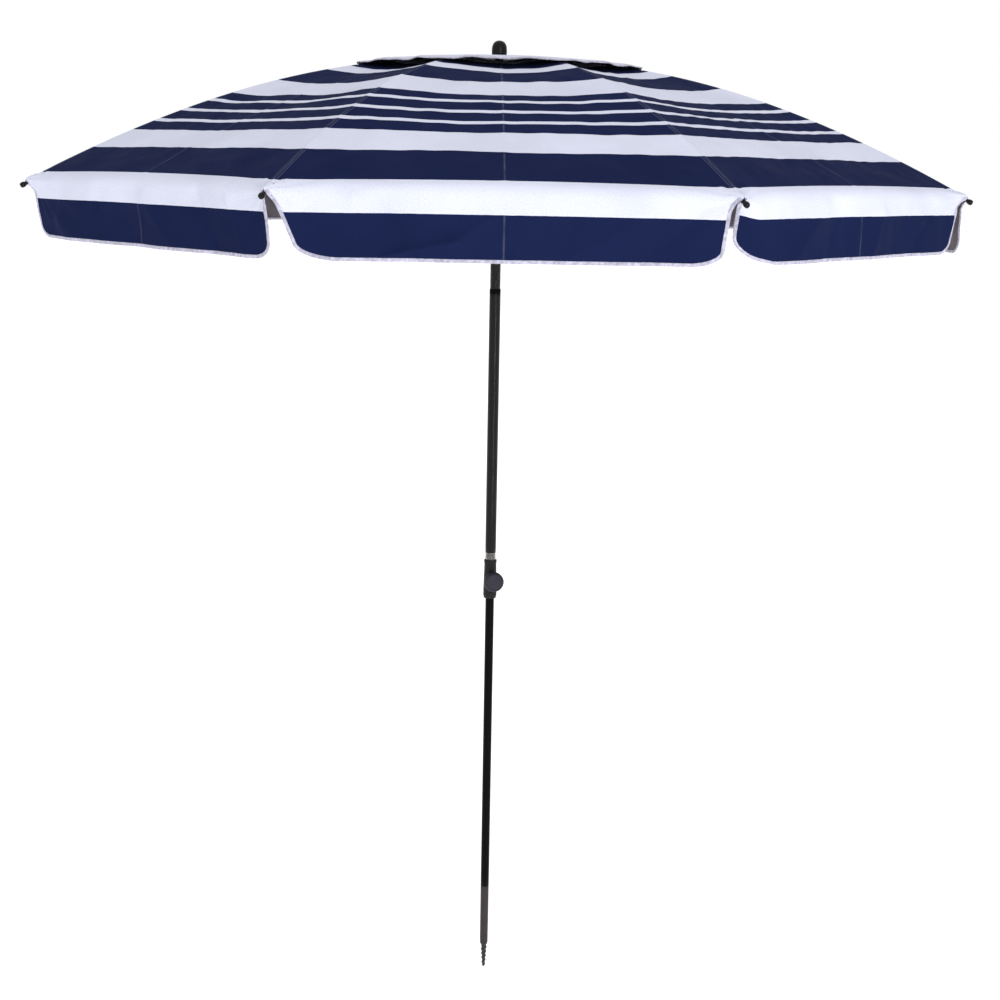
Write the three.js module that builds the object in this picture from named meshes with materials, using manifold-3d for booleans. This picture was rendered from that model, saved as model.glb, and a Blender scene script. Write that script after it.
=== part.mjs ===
// Beach umbrella: eight-rib canopy with a valance and a vented top, a tilting two-piece pole with a
// clamp collar, and a plastic ground spike. Millimetres, +Z up, origin at the point of the spike.
import * as THREE from 'three';
import { mergeVertices } from 'three/addons/utils/BufferGeometryUtils.js';
import Module from 'manifold-3d';

const wasm = await Module();
wasm.setup();

// ---- driving dimensions ----
const PANELS = 8;
const STEP = (2 * Math.PI) / PANELS; // angle between ribs
const HALF = STEP / 2;
const GAP = 0.3; // clearance between touching pieces

const TIP_RADIUS = 950; // pole axis to the end of a rib tip
const TIP_Z = 1813.6; // height of the rib tips
const CROWN_RISE = 254.6; // top of the canopy above the rib tips
const DOME_FALL = 312; // drop of the dome, by the square of the radius
const DOME_EASE = 22; // taken off that drop, by its fifth power: the ribs' ends are straighter
const DOME_FLAT = 0.07; // share of the radius where the dome is level
const PANEL_SAG = 11; // cloth below the straight line between two ribs
const SAG_END = 0.85; // share of the radius where that sag ends
const CLOTH = 1.2;
const SEAM_GAP = 0.35; // half the gap between neighbouring panels
const VENT_HOLE = 120; // radius, along a rib, of the hole under the vent cap
const RIM_RADIUS = 920; // radius, along a rib, where the cloth turns down
const RIM_BEND = 20; // radius of that turn
const VALANCE_DROP = 97; // rib tips to the hem
const VALANCE_TOP_INSET = 9; // slit between two flaps, from the rib to the cloth
const VALANCE_HEM_INSET = 26;
const VALANCE_CORNER = 45;

const CAP_INNER = 12; // vent cap, radii along a rib
const CAP_RADIUS = 305;
const CAP_TOP_Z = 2076;
const CAP_CLEAR = 5; // above the dome at its corners
const CAP_BILLOW = 18; // hem of the cap above the line between its corners

const ROD = 2.25; // rib rod radius
const ROD_BELOW = 5.6; // rod centre below the outer face of the cloth
const ROD_END = 934;
const RIB_RING = 17; // radius of the wire that the ribs hinge on
const WIRE = 0.8;
const EYE = 3; // outer radius of a rib's eye
const EYE_HOLE = 1.5;
const EYE_WIDTH = 3;
const LUG_RADIUS = 430; // where the stretcher joins the rib
const LUG_BELOW = 7; // rib rod centre to stretcher joint
const TIP_CAP_START = 921.5;

const RUNNER_Z = 1800; // height of the stretcher hinges with the umbrella open
const RUNNER_RING = 22;
const RUNNER_BODY = 18;
const STRETCHER = 2; // rod radius
const STRETCHER_ASIDE = 4.8; // stretchers lie beside the ribs, never under them

const POLE = 12; // upper pole and canopy pole
const POLE_WALL = 1.2;
const LOWER_POLE = 9.6;
const SHANK = 11;
const PLUG = POLE - POLE_WALL - 0.4;
const TILT_Z = 1690; // tilt hinge
const FORK_TOP = 18; // solid end of the fork and of the tongue, from the tilt hinge
const MAST_BOTTOM = 1712;
const MAST_TOP = 2050;
const UPPER_BOTTOM = 1025;
const UPPER_TOP = 1605;
const LOWER_TOP = 1095;
const COLLAR_BOTTOM = 920;
const COLLAR_TOP = 1008;
const SPIKE_TOP = 212;
const SPIKE_POINT = 58; // length of the ridged cone
const KNOB_Z = 965;
const KNOB_TURN = THREE.MathUtils.degToRad(13); // knob axis from the front, towards +X
const FINIAL_TOP = 2109.5;
const ROUND = 20; // sides of a tube

const BUTTON = { z: RUNNER_Z - 30, radius: 4, hole: 4.6, inner: 15.6, outer: 20.4 };
const TONGUE = 3.6; // half the width of the tilt tongue
const HINGE_EYE = 9; // radius of the round ends of the tongue and the fork
const EAR = 6; // thickness of each ear of the fork
const PIN = 2.9;
const PIN_HOLE = 3.3;
const TILT_BUTTON = { z: TILT_Z - 32, radius: 3.8, hole: 4.3, inner: 5, pocket: 1.4 };
const KNOB = { start: 22.5, end: 43, radius: 22.3 };
const SCREW = { radius: 3.5, hole: 4.1, end: 30 };

const RIB_HINGE_Z = domeZ(RIB_RING) - ROD_BELOW;

// ---- shared shapes ----
function domeZ(radius) {
  const out = radius / TIP_RADIUS - DOME_FLAT;
  return TIP_Z + CROWN_RISE - DOME_FALL * out ** 2 + DOME_EASE * out ** 5;
}

function domeSlope(radius) {
  const out = radius / TIP_RADIUS - DOME_FLAT;
  return (2 * DOME_FALL * out - 5 * DOME_EASE * out ** 4) / TIP_RADIUS;
}

function rodPoint(radius) {
  return new THREE.Vector3(radius, 0, domeZ(radius) - ROD_BELOW);
}

// One closed body with its faces outwards: shared points merged, slivers dropped.
function closed(source) {
  const plain = new THREE.BufferGeometry();
  plain.setAttribute('position', source.getAttribute('position').clone());
  if (source.index) plain.setIndex(source.index.clone());
  const merged = mergeVertices(plain, 1e-4);
  const position = merged.getAttribute('position');
  const corners = Array.from(merged.index.array);
  const kept = [];
  let volume = 0;
  const [a, b, c] = [new THREE.Vector3(), new THREE.Vector3(), new THREE.Vector3()];
  for (let i = 0; i < corners.length; i += 3) {
    const [p, q, r] = corners.slice(i, i + 3);
    if (p === q || q === r || r === p) continue;
    kept.push(p, q, r);
    a.fromBufferAttribute(position, p);
    b.fromBufferAttribute(position, q);
    c.fromBufferAttribute(position, r);
    volume += a.dot(b.cross(c));
  }
  merged.setIndex(volume < 0 ? kept.reverse() : kept);
  return merged;
}

function toSolid(geometry) {
  const merged = closed(geometry);
  return new wasm.Manifold(new wasm.Mesh({
    numProp: 3,
    vertProperties: new Float32Array(merged.getAttribute('position').array),
    triVerts: new Uint32Array(merged.index.array),
  }));
}

function fromSolid(solid) {
  const mesh = solid.getMesh();
  const geometry = new THREE.BufferGeometry();
  geometry.setAttribute('position', new THREE.BufferAttribute(mesh.vertProperties, 3));
  geometry.setIndex(new THREE.BufferAttribute(mesh.triVerts, 1));
  return geometry;
}

function join(first, ...rest) {
  return fromSolid(rest.reduce((sum, g) => sum.add(toSolid(g)), toSolid(first)));
}

function cut(first, ...rest) {
  return fromSolid(rest.reduce((left, g) => left.subtract(toSolid(g)), toSolid(first)));
}

// A turned piece: profile points are [radius, height], from axis to axis or closed on themselves.
function turned(profile, sides = ROUND) {
  const points = profile.map(([radius, height]) => new THREE.Vector2(radius, height));
  return new THREE.LatheGeometry(points, sides).rotateX(Math.PI / 2);
}

function ring(inner, outer, bottom, top, sides = ROUND) {
  return turned([[inner, bottom], [outer, bottom], [outer, top], [inner, top], [inner, bottom]], sides);
}

function wireRing(radius, wire, height, sides = 6, around = 32) {
  const section = [];
  for (let i = 0; i <= sides; i += 1) {
    const angle = (2 * Math.PI * (i % sides)) / sides;
    section.push([radius + wire * Math.cos(angle), height + wire * Math.sin(angle)]);
  }
  return turned(section, around);
}

// A round bar along Y, with its middle at a point.
function crossBar(radius, length, x, y, z, sides = 12) {
  return new THREE.CylinderGeometry(radius, radius, length, sides).translate(x, y, z);
}

function block(width, depth, height, x, y, z) {
  return new THREE.BoxGeometry(width, depth, height).translate(x, y, z);
}

// A rod between two points.
function rod(from, to, radius, sides) {
  const along = new THREE.Vector3().subVectors(to, from);
  const turn = new THREE.Quaternion().setFromUnitVectors(new THREE.Vector3(0, 1, 0), along.clone().normalize());
  const middle = new THREE.Vector3().addVectors(from, to).multiplyScalar(0.5);
  return new THREE.CylinderGeometry(radius, radius, along.length(), sides)
    .applyQuaternion(turn)
    .translate(middle.x, middle.y, middle.z);
}

// A cloth solid: a grid of columns (u) by rows (v) and the same grid moved inwards. It is joined at
// its edges, or around, where its first and last columns meet.
function clothSolid(surface, columns, rows, inwards, around = false) {
  const wide = around ? columns : columns + 1;
  const points = [];
  for (const depth of [0, 1]) {
    for (let row = 0; row <= rows; row += 1) {
      for (let column = 0; column < wide; column += 1) {
        const p = surface(column / columns, row / rows);
        points.push(...p.addScaledVector(inwards(p), depth).toArray());
      }
    }
  }
  const at = (depth, row, column) => (depth * (rows + 1) + row) * wide + (column % wide);
  const corners = [];
  const quad = (p, q, r, s) => corners.push(p, q, r, p, r, s);
  for (let column = 0; column < columns; column += 1) {
    for (let row = 0; row < rows; row += 1) {
      quad(at(0, row, column), at(0, row, column + 1), at(0, row + 1, column + 1), at(0, row + 1, column));
      quad(at(1, row, column), at(1, row + 1, column), at(1, row + 1, column + 1), at(1, row, column + 1));
    }
    quad(at(0, 0, column), at(1, 0, column), at(1, 0, column + 1), at(0, 0, column + 1));
    quad(at(0, rows, column), at(0, rows, column + 1), at(1, rows, column + 1), at(1, rows, column));
  }
  if (!around) {
    for (let row = 0; row < rows; row += 1) {
      quad(at(0, row, 0), at(0, row + 1, 0), at(1, row + 1, 0), at(1, row, 0));
      quad(at(0, row, columns), at(1, row, columns), at(1, row + 1, columns), at(0, row + 1, columns));
    }
  }
  const geometry = new THREE.BufferGeometry();
  geometry.setAttribute('position', new THREE.Float32BufferAttribute(points, 3));
  geometry.setIndex(corners);
  return closed(geometry);
}

// ---- canopy, each piece in the frame of its own panel: +X out along the panel's middle ----
function panelSag(radius) {
  return PANEL_SAG * Math.sin((Math.PI * radius) / (SAG_END * TIP_RADIUS));
}

function canopyPanel() {
  const columns = 6;
  const rows = 7;
  const surface = (u, v) => {
    const side = 2 * u - 1;
    const radius = THREE.MathUtils.lerp(VENT_HOLE, RIM_RADIUS, v);
    const reach = radius * Math.sin(HALF) - SEAM_GAP;
    const z = domeZ(radius) - panelSag(radius) * (1 - side * side);
    return new THREE.Vector3(radius * Math.cos(HALF), side * reach, z);
  };
  return clothSolid(surface, columns, rows, () => new THREE.Vector3(0, 0, -CLOTH));
}

function valance() {
  const columns = 6;
  const slope = Math.atan(domeSlope(RIM_RADIUS));
  const start = RIM_RADIUS * Math.cos(HALF) + GAP;
  const startZ = domeZ(RIM_RADIUS);
  const hem = TIP_Z - VALANCE_DROP;
  const wide = RIM_RADIUS * Math.sin(HALF);
  // the turn over the rim, then straight down, with rounded lower corners
  const stations = [];
  const turns = 3;
  for (let i = 0; i <= turns; i += 1) {
    const angle = THREE.MathUtils.lerp(slope, Math.PI / 2, i / turns);
    stations.push({
      x: start + RIM_BEND * (Math.sin(angle) - Math.sin(slope)),
      z: startZ - RIM_BEND * (Math.cos(slope) - Math.cos(angle)),
    });
  }
  const { x: flat, z: flatZ } = stations[turns];
  stations.push({ x: flat, z: hem + VALANCE_CORNER });
  for (const angle of [30, 60, 90]) {
    const round = VALANCE_CORNER * (1 - Math.sin(THREE.MathUtils.degToRad(angle)));
    stations.push({ x: flat, z: hem + round, corner: angle });
  }
  const rows = stations.length - 1;
  const surface = (u, v) => {
    const { x, z, corner = 0 } = stations[Math.round(v * rows)];
    const down = THREE.MathUtils.clamp((flatZ - z) / (flatZ - hem), 0, 1);
    const inset = THREE.MathUtils.lerp(VALANCE_TOP_INSET, VALANCE_HEM_INSET, down);
    const round = VALANCE_CORNER * (1 - Math.cos(THREE.MathUtils.degToRad(corner)));
    return new THREE.Vector3(x, (2 * u - 1) * (wide - inset - round), z);
  };
  const inwards = (p) => {
    const bend = THREE.MathUtils.clamp((p.z - flatZ) / (startZ - flatZ), 0, 1);
    return new THREE.Vector3(bend - 1, 0, -bend).normalize().multiplyScalar(CLOTH);
  };
  return clothSolid(surface, columns, rows, inwards);
}

function ventCap() {
  const perPanel = 4;
  const fall = CAP_TOP_Z - domeZ(CAP_RADIUS) - CAP_CLEAR;
  const surface = (u, v) => {
    const turn = u * PANELS;
    const panel = Math.floor(turn);
    const side = 2 * (turn - panel) - 1;
    const radius = THREE.MathUtils.lerp(CAP_INNER, CAP_RADIUS, v);
    const out = radius / CAP_RADIUS;
    const z = CAP_TOP_Z - fall * out ** 2 + CAP_BILLOW * out ** 3 * (1 - side * side);
    const flat = new THREE.Vector3(radius * Math.cos(HALF), side * radius * Math.sin(HALF), z);
    return flat.applyAxisAngle(new THREE.Vector3(0, 0, 1), panel * STEP + HALF + ribAngle(0));
  };
  return clothSolid(surface, PANELS * perPanel, 4, () => new THREE.Vector3(0, 0, -1), true);
}

function crownPatch() {
  return ring(9.6, 34, CAP_TOP_Z + 0.5, CAP_TOP_Z + 1.5);
}

// ---- frame, each rib and stretcher in its own vertical plane: +X out ----
function disc(radius, hole, width, x, y, z) {
  const shape = new THREE.Shape().absarc(0, 0, radius, 0, 2 * Math.PI);
  if (hole) shape.holes.push(new THREE.Path().absarc(0, 0, hole, 0, 2 * Math.PI, true));
  return new THREE.ExtrudeGeometry(shape, { depth: width, bevelEnabled: false, curveSegments: 4 })
    .translate(0, 0, -width / 2)
    .rotateX(Math.PI / 2)
    .translate(x, y, z);
}

class RibLine extends THREE.Curve {
  getPoint(t, target = new THREE.Vector3()) {
    return target.copy(rodPoint(THREE.MathUtils.lerp(RIB_RING + (EYE + EYE_HOLE) / 2, ROD_END, t)));
  }
}

function rib() {
  const section = new THREE.Shape().absarc(0, 0, ROD, 0, 2 * Math.PI);
  const bar = new THREE.ExtrudeGeometry(section, {
    steps: 12, bevelEnabled: false, curveSegments: 3, extrudePath: new RibLine(),
  });
  const joint = rodPoint(LUG_RADIUS);
  const lugZ = joint.z - LUG_BELOW;
  return join(
    bar,
    disc(EYE, EYE_HOLE, EYE_WIDTH, RIB_RING, 0, RIB_HINGE_Z),
    block(12, 2.8, LUG_BELOW, LUG_RADIUS, 0, joint.z - LUG_BELOW / 2),
    disc(4.5, 0, 2.8, LUG_RADIUS, 0, lugZ),
    disc(2, 0, 4.8, LUG_RADIUS, 0, lugZ),
  );
}

function ribTip() {
  const socket = ROD + GAP + 0.1;
  const depth = 15;
  const sleeve = 3.6;
  const neck = 3;
  const ball = 5;
  const length = 33;
  return turned([
    [0, depth], [socket, depth], [socket, 0], [sleeve, 0], [sleeve, depth + 3], [neck, depth + 5],
    [neck, length - 2 * ball + 1], [ball - 0.6, length - 1.5 * ball], [ball, length - ball],
    [ball - 1.3, length - 0.35 * ball], [0, length],
  ], 8);
}

function stretcher() {
  const inner = Math.sqrt(RUNNER_RING ** 2 - STRETCHER_ASIDE ** 2);
  const low = new THREE.Vector3(inner, STRETCHER_ASIDE, RUNNER_Z);
  const joint = rodPoint(LUG_RADIUS);
  const high = new THREE.Vector3(LUG_RADIUS, STRETCHER_ASIDE, joint.z - LUG_BELOW);
  const along = new THREE.Vector3().subVectors(high, low).normalize();
  const start = low.clone().addScaledVector(along, 2.4);
  const end = high.clone().addScaledVector(along, -3);
  return join(
    rod(start, end, STRETCHER, 6),
    disc(EYE, 1.7, EYE_WIDTH, low.x, low.y, low.z),
    disc(4, 2.2, EYE_WIDTH, high.x, high.y, high.z),
  );
}

// Teeth between the hinged rods, each with a way through for the wire.
function toothedHub(body, teeth, wire) {
  const hub = [];
  for (let i = 0; i < PANELS; i += 1) {
    const reach = teeth.outer - teeth.inner;
    const tooth = block(reach, 5, teeth.top - teeth.bottom, (teeth.inner + teeth.outer) / 2, 0,
      (teeth.top + teeth.bottom) / 2);
    hub.push(tooth.rotateZ(ribAngle(i) + HALF + teeth.turn));
  }
  return cut(join(body, ...hub), wire);
}

function topNotch() {
  const z = RIB_HINGE_Z;
  const body = turned([
    [0, MAST_TOP - 28], [PLUG, MAST_TOP - 28], [PLUG, MAST_TOP + GAP], [13, MAST_TOP + GAP],
    [13, MAST_TOP + 4], [12.4, MAST_TOP + 4], [12.4, z + 4.2], [21, z + 4.2], [21, z + 6.2], [0, z + 6.2],
  ]);
  const teeth = { inner: 11, outer: 21, bottom: z - 4.5, top: z + 4.6, turn: 0 };
  return toothedHub(body, teeth, wireRing(RIB_RING, WIRE + 0.5, z));
}

function finial() {
  const base = CAP_TOP_Z + 1.8;
  return turned([
    [0, RIB_HINGE_Z + 6.6], [9, RIB_HINGE_Z + 6.6], [9, base], [14.6, base], [15.6, base + 1.5],
    [15.6, base + 13], [14.6, FINIAL_TOP - 11.5], [11.8, FINIAL_TOP - 5.6], [7, FINIAL_TOP - 1.7],
    [3.2, FINIAL_TOP - 0.3], [0, FINIAL_TOP],
  ]);
}

function runner() {
  const bore = POLE + 0.9;
  const z = RUNNER_Z;
  const body = turned([
    [bore, z - 46], [RUNNER_BODY - 1, z - 46], [RUNNER_BODY, z - 44], [RUNNER_BODY, z - 9],
    [25, z - 6.5], [25, z - 4], [RUNNER_BODY, z - 4], [RUNNER_BODY, z + 6], [RUNNER_BODY - 1, z + 7],
    [bore, z + 7], [bore, z - 46],
  ]);
  const aside = Math.asin(STRETCHER_ASIDE / RUNNER_RING);
  const teeth = { inner: 16, outer: 25, bottom: z - 4.5, top: z + 3.5, turn: aside };
  const hub = toothedHub(body, teeth, wireRing(RUNNER_RING, WIRE + 0.5, z));
  return cut(hub, crossBar(BUTTON.hole, 10, 0, -RUNNER_BODY, BUTTON.z));
}

function runnerButton() {
  const middle = -(BUTTON.inner + BUTTON.outer) / 2;
  return crossBar(BUTTON.radius, BUTTON.outer - BUTTON.inner, 0, middle, BUTTON.z);
}

// ---- pole ----
function canopyPole() {
  return ring(POLE - POLE_WALL, POLE, MAST_BOTTOM, MAST_TOP);
}

function upperPole() {
  return ring(POLE - POLE_WALL, POLE, UPPER_BOTTOM, UPPER_TOP);
}

function lowerPole() {
  return ring(LOWER_POLE - POLE_WALL, LOWER_POLE, SPIKE_TOP + GAP, LOWER_TOP);
}

function tiltFork() {
  const body = turned([
    [0, UPPER_TOP - 35], [PLUG, UPPER_TOP - 35], [PLUG, UPPER_TOP + GAP], [SHANK, UPPER_TOP + GAP],
    [SHANK, TILT_Z - FORK_TOP], [0, TILT_Z - FORK_TOP],
  ]);
  const foot = TILT_Z - FORK_TOP / 2 - 0.5;
  const ears = [-1, 1].map((side) => {
    const y = side * (TONGUE + GAP + EAR / 2);
    return join(disc(HINGE_EYE, 0, EAR, 0, y, TILT_Z), block(2 * HINGE_EYE, EAR, FORK_TOP + 1, 0, y, foot));
  });
  const pocket = SHANK - TILT_BUTTON.pocket;
  return cut(
    join(body, ...ears),
    crossBar(PIN_HOLE, 40, 0, 0, TILT_Z),
    crossBar(TILT_BUTTON.hole, 2 * pocket, 0, -SHANK, TILT_BUTTON.z),
  );
}

function tiltTongue() {
  const foot = TILT_Z + FORK_TOP;
  const body = turned([
    [0, foot], [POLE, foot], [POLE, MAST_BOTTOM - GAP], [PLUG, MAST_BOTTOM - GAP],
    [PLUG, MAST_BOTTOM + 33], [0, MAST_BOTTOM + 33],
  ]);
  const tongue = join(
    disc(HINGE_EYE, 0, 2 * TONGUE, 0, 0, TILT_Z),
    block(2 * HINGE_EYE, 2 * TONGUE, FORK_TOP + 1, 0, 0, TILT_Z + FORK_TOP / 2 + 0.5),
  );
  return cut(join(body, tongue), crossBar(PIN_HOLE, 20, 0, 0, TILT_Z));
}

function tiltPin() {
  return crossBar(PIN, 20, 0, 0, TILT_Z);
}

function tiltButton() {
  const length = SHANK - TILT_BUTTON.inner;
  return crossBar(TILT_BUTTON.radius, length, 0, -TILT_BUTTON.inner - length / 2, TILT_BUTTON.z);
}

// The clamp points along +X here and is turned with the knob's axis when it is placed.

function clampCollar() {
  const bore = LOWER_POLE + 0.4;
  const body = turned([
    [bore, COLLAR_BOTTOM], [13.6, COLLAR_BOTTOM], [15, COLLAR_BOTTOM + 7], [14.9, COLLAR_BOTTOM + 20],
    [13.3, COLLAR_TOP - 10], [14.2, COLLAR_TOP - 4], [13.6, COLLAR_TOP], [bore, COLLAR_TOP],
    [bore, COLLAR_BOTTOM],
  ]);
  const face = block(10, 40, 62, 13 + 5, 0, KNOB_Z);
  const boss = rod(new THREE.Vector3(11, 0, KNOB_Z), new THREE.Vector3(21.5, 0, KNOB_Z), 9.5, 20);
  const whole = join(cut(body, face), boss);
  const hole = rod(new THREE.Vector3(0, 0, KNOB_Z), new THREE.Vector3(40, 0, KNOB_Z), SCREW.hole, 16);
  const way = turned([[0, KNOB_Z - 20], [bore, KNOB_Z - 20], [bore, KNOB_Z + 20], [0, KNOB_Z + 20]]);
  return cut(whole, hole, way);
}

function clampScrew() {
  const start = LOWER_POLE + 0.3;
  return rod(new THREE.Vector3(start, 0, KNOB_Z), new THREE.Vector3(SCREW.end, 0, KNOB_Z), SCREW.radius, 12);
}

function clampKnob() {
  const { start, end, radius } = KNOB;
  const socket = SCREW.radius + GAP;
  return turned([
    [0, SCREW.end + GAP], [socket, SCREW.end + GAP], [socket, start], [9, start], [10, start + 4],
    [radius - 2, start + 6], [radius, start + 8], [radius, end - 4], [radius - 3, end - 0.5],
    [radius - 5.5, end], [radius - 6.5, end - 1.2], [0, end - 1.2],
  ]).rotateY(Math.PI / 2).translate(0, 0, KNOB_Z);
}

function guideBush() {
  const bore = LOWER_POLE + 0.35;
  const sleeve = POLE - POLE_WALL - 0.2;
  const bottom = COLLAR_TOP + GAP;
  const shoulder = UPPER_BOTTOM - GAP;
  return turned([
    [bore, bottom], [11.8, bottom], [11.8, shoulder], [sleeve, shoulder], [sleeve, shoulder + 30],
    [bore, shoulder + 30], [bore, bottom],
  ]);
}

function groundSpike() {
  const ridges = 4;
  const pitch = SPIKE_POINT / (ridges + 1);
  const profile = [[0, 0], [2.4, 0.8], [3.3, 3]];
  for (let i = 0; i < ridges; i += 1) {
    const z = pitch * (i + 0.6);
    const core = 2.6 + (2.4 * i) / ridges;
    profile.push([core + 0.2, z], [core + 1.9, z + 0.45 * pitch], [core + 0.5, z + 0.8 * pitch]);
  }
  profile.push(
    [5.2, SPIKE_POINT - 5], [6.6, SPIKE_POINT], [8.4, SPIKE_POINT + 3], [9.2, SPIKE_POINT + 10],
    [9.5, SPIKE_TOP], [LOWER_POLE - POLE_WALL - 0.3, SPIKE_TOP],
    [LOWER_POLE - POLE_WALL - 0.3, SPIKE_TOP + 40], [0, SPIKE_TOP + 40],
  );
  return turned(profile, 20);
}

// ---- assembly ----
function ribAngle(i) {
  return -Math.PI / 2 + HALF + i * STEP;
}

function panelAngle(i) {
  return -Math.PI / 2 + i * STEP;
}

const NAVY = { color: 0x24305a, roughness: 0.75, metalness: 0 };
const WHITE = { color: 0xe6e6f2, roughness: 0.75, metalness: 0 };
const STEEL = { color: 0x2a2829, roughness: 0.35, metalness: 0.6 };
const BLACK = { color: 0x181718, roughness: 0.3, metalness: 0.3 };
const PLASTIC = { color: 0x3a3539, roughness: 0.6, metalness: 0 };
const KNOB_GREY = { color: 0x45444d, roughness: 0.65, metalness: 0 };
const CLEAR = { color: 0xb9b4ad, roughness: 0.3, metalness: 0 };

const umbrella = new THREE.Group();

function add(name, geometry, finish, turn = 0, to = umbrella) {
  const mesh = new THREE.Mesh(closed(geometry), new THREE.MeshStandardMaterial(finish));
  mesh.name = name;
  mesh.rotation.z = turn;
  to.add(mesh);
  return mesh;
}

const panelShape = canopyPanel();
const valanceShape = valance();
const ribShape = rib();
const tipShape = ribTip();
const stretcherShape = stretcher();
for (let i = 0; i < PANELS; i += 1) {
  const number = i + 1;
  add(`canopy_panel_${number}`, panelShape, NAVY, panelAngle(i));
  add(`valance_${number}`, valanceShape, WHITE, panelAngle(i));
  const spoke = new THREE.Group();
  spoke.rotation.z = ribAngle(i);
  umbrella.add(spoke);
  add(`rib_${number}`, ribShape, STEEL, 0, spoke);
  add(`stretcher_${number}`, stretcherShape, STEEL, 0, spoke);
  const tip = add(`rib_tip_${number}`, tipShape, BLACK, 0, spoke);
  tip.position.copy(rodPoint(TIP_CAP_START));
  tip.rotation.y = Math.PI / 2 + Math.atan(domeSlope(TIP_CAP_START));
}
add('vent_cap', ventCap(), WHITE);
add('crown_patch', crownPatch(), WHITE);
add('finial', finial(), BLACK);
add('top_notch', topNotch(), BLACK);
add('rib_wire', wireRing(RIB_RING, WIRE, RIB_HINGE_Z), STEEL);
add('runner', runner(), BLACK);
add('runner_wire', wireRing(RUNNER_RING, WIRE, RUNNER_Z), STEEL);
add('runner_button', runnerButton(), PLASTIC);
add('canopy_pole', canopyPole(), BLACK);
add('tilt_tongue', tiltTongue(), STEEL);
add('tilt_fork', tiltFork(), STEEL);
add('tilt_pin', tiltPin(), STEEL);
add('tilt_button', tiltButton(), PLASTIC);
add('upper_pole', upperPole(), BLACK);
add('guide_bush', guideBush(), CLEAR);
const knobAngle = -Math.PI / 2 + KNOB_TURN;
add('clamp_collar', clampCollar(), PLASTIC, knobAngle);
add('clamp_screw', clampScrew(), STEEL, knobAngle);
add('clamp_knob', clampKnob(), KNOB_GREY, knobAngle);
add('lower_pole', lowerPole(), BLACK);
add('ground_spike', groundSpike(), PLASTIC);

export default umbrella;
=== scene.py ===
"""Beach umbrella: the cloth, trim, poles, clamp and spike worked out as surfaces around a fixed frame."""

import math

import bpy
import numpy as np
from bpy.props import FloatProperty, FloatVectorProperty, PointerProperty
from mathutils import Matrix, Vector


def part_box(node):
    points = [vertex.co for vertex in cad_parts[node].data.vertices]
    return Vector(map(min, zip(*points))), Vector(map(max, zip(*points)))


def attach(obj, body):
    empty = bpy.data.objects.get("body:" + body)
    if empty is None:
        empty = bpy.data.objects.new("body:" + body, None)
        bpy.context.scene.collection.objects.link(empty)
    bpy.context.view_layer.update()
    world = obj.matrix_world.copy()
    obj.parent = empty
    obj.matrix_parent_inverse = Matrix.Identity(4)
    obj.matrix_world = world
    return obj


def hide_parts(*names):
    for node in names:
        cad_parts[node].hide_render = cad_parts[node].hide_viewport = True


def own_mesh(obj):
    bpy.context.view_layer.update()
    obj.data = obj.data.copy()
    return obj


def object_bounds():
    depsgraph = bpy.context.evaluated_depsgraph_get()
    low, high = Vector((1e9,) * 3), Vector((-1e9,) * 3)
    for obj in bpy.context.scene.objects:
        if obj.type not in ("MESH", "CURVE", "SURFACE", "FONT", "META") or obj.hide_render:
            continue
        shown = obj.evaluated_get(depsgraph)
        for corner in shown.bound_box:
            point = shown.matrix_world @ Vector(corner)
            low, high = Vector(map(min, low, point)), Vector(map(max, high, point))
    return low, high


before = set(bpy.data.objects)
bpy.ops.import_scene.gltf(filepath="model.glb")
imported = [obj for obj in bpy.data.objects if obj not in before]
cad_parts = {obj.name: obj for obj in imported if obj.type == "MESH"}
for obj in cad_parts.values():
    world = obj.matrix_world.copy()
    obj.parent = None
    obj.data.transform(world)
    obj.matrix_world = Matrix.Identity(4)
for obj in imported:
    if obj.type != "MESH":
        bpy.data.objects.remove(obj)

CAD_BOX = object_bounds()

bl_info = {
    "name": "Beach umbrella",
    "version": (1, 0, 0),
    "blender": (4, 5, 0),
    "location": "3D View > Sidebar > Umbrella",
    "description": "Builds the cloth, poles and fittings of a striped beach umbrella",
    "category": "Add Mesh",
}

# ---- sizes shared with the frame, in metres ----
PANELS = 8
STEP = 2 * math.pi / PANELS
COS, SIN = math.cos(STEP / 2), math.sin(STEP / 2)
TIP_R, TIP_Z = 0.950, 1.8136
CROWN_RISE, DOME_FALL, DOME_EASE, DOME_FLAT = 0.2546, 0.312, 0.022, 0.07
PANEL_SAG, SAG_END = 0.011, 0.85
VENT_HOLE, RIM_R = 0.120, 0.920
RIM_HALF = RIM_R * SIN
RIM_BEND = 0.020
CAP_INNER, CAP_R, CAP_TOP = 0.012, 0.305, 2.076
CAP_CLEAR, CAP_BILLOW = 0.005, 0.0055
CAP_CURL = 0.0036
ROD_BELOW = 0.0056
TIP_CAP_START = 0.9215
CROWN_Z = TIP_Z + CROWN_RISE

# where the printed bands end, by the distance from the middle along a rib
BANDS = (
    (0.120, "white"), (0.230, "navy"), (0.314, "white"), (0.361, "navy"), (0.4614, "white"),
    (0.5528, "navy"), (0.5880, "white"), (0.6006, "navy"), (0.6380, "white"), (0.6506, "navy"),
    (0.6915, "white"), (0.7041, "navy"), (0.7408, "white"), (0.8127, "navy"), (0.9079, "white"),
    (0.9650, "navy"),
)
BAND_SPAN = 1.1

# threads, stitches and tape, in metres
WEAVE_PITCH = 0.0011
STITCH_WIDTH, STITCH_PITCH, STITCH_SHARE = 0.0011, 0.0045, 0.68
TAPE_WIDTH, TAPE_THICK = 0.0052, 0.0007
CAP_THICK = 0.0007
UPPER_BORE, LOWER_BORE, POLE_EASE = 0.0108, 0.0084, 0.0006

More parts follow.
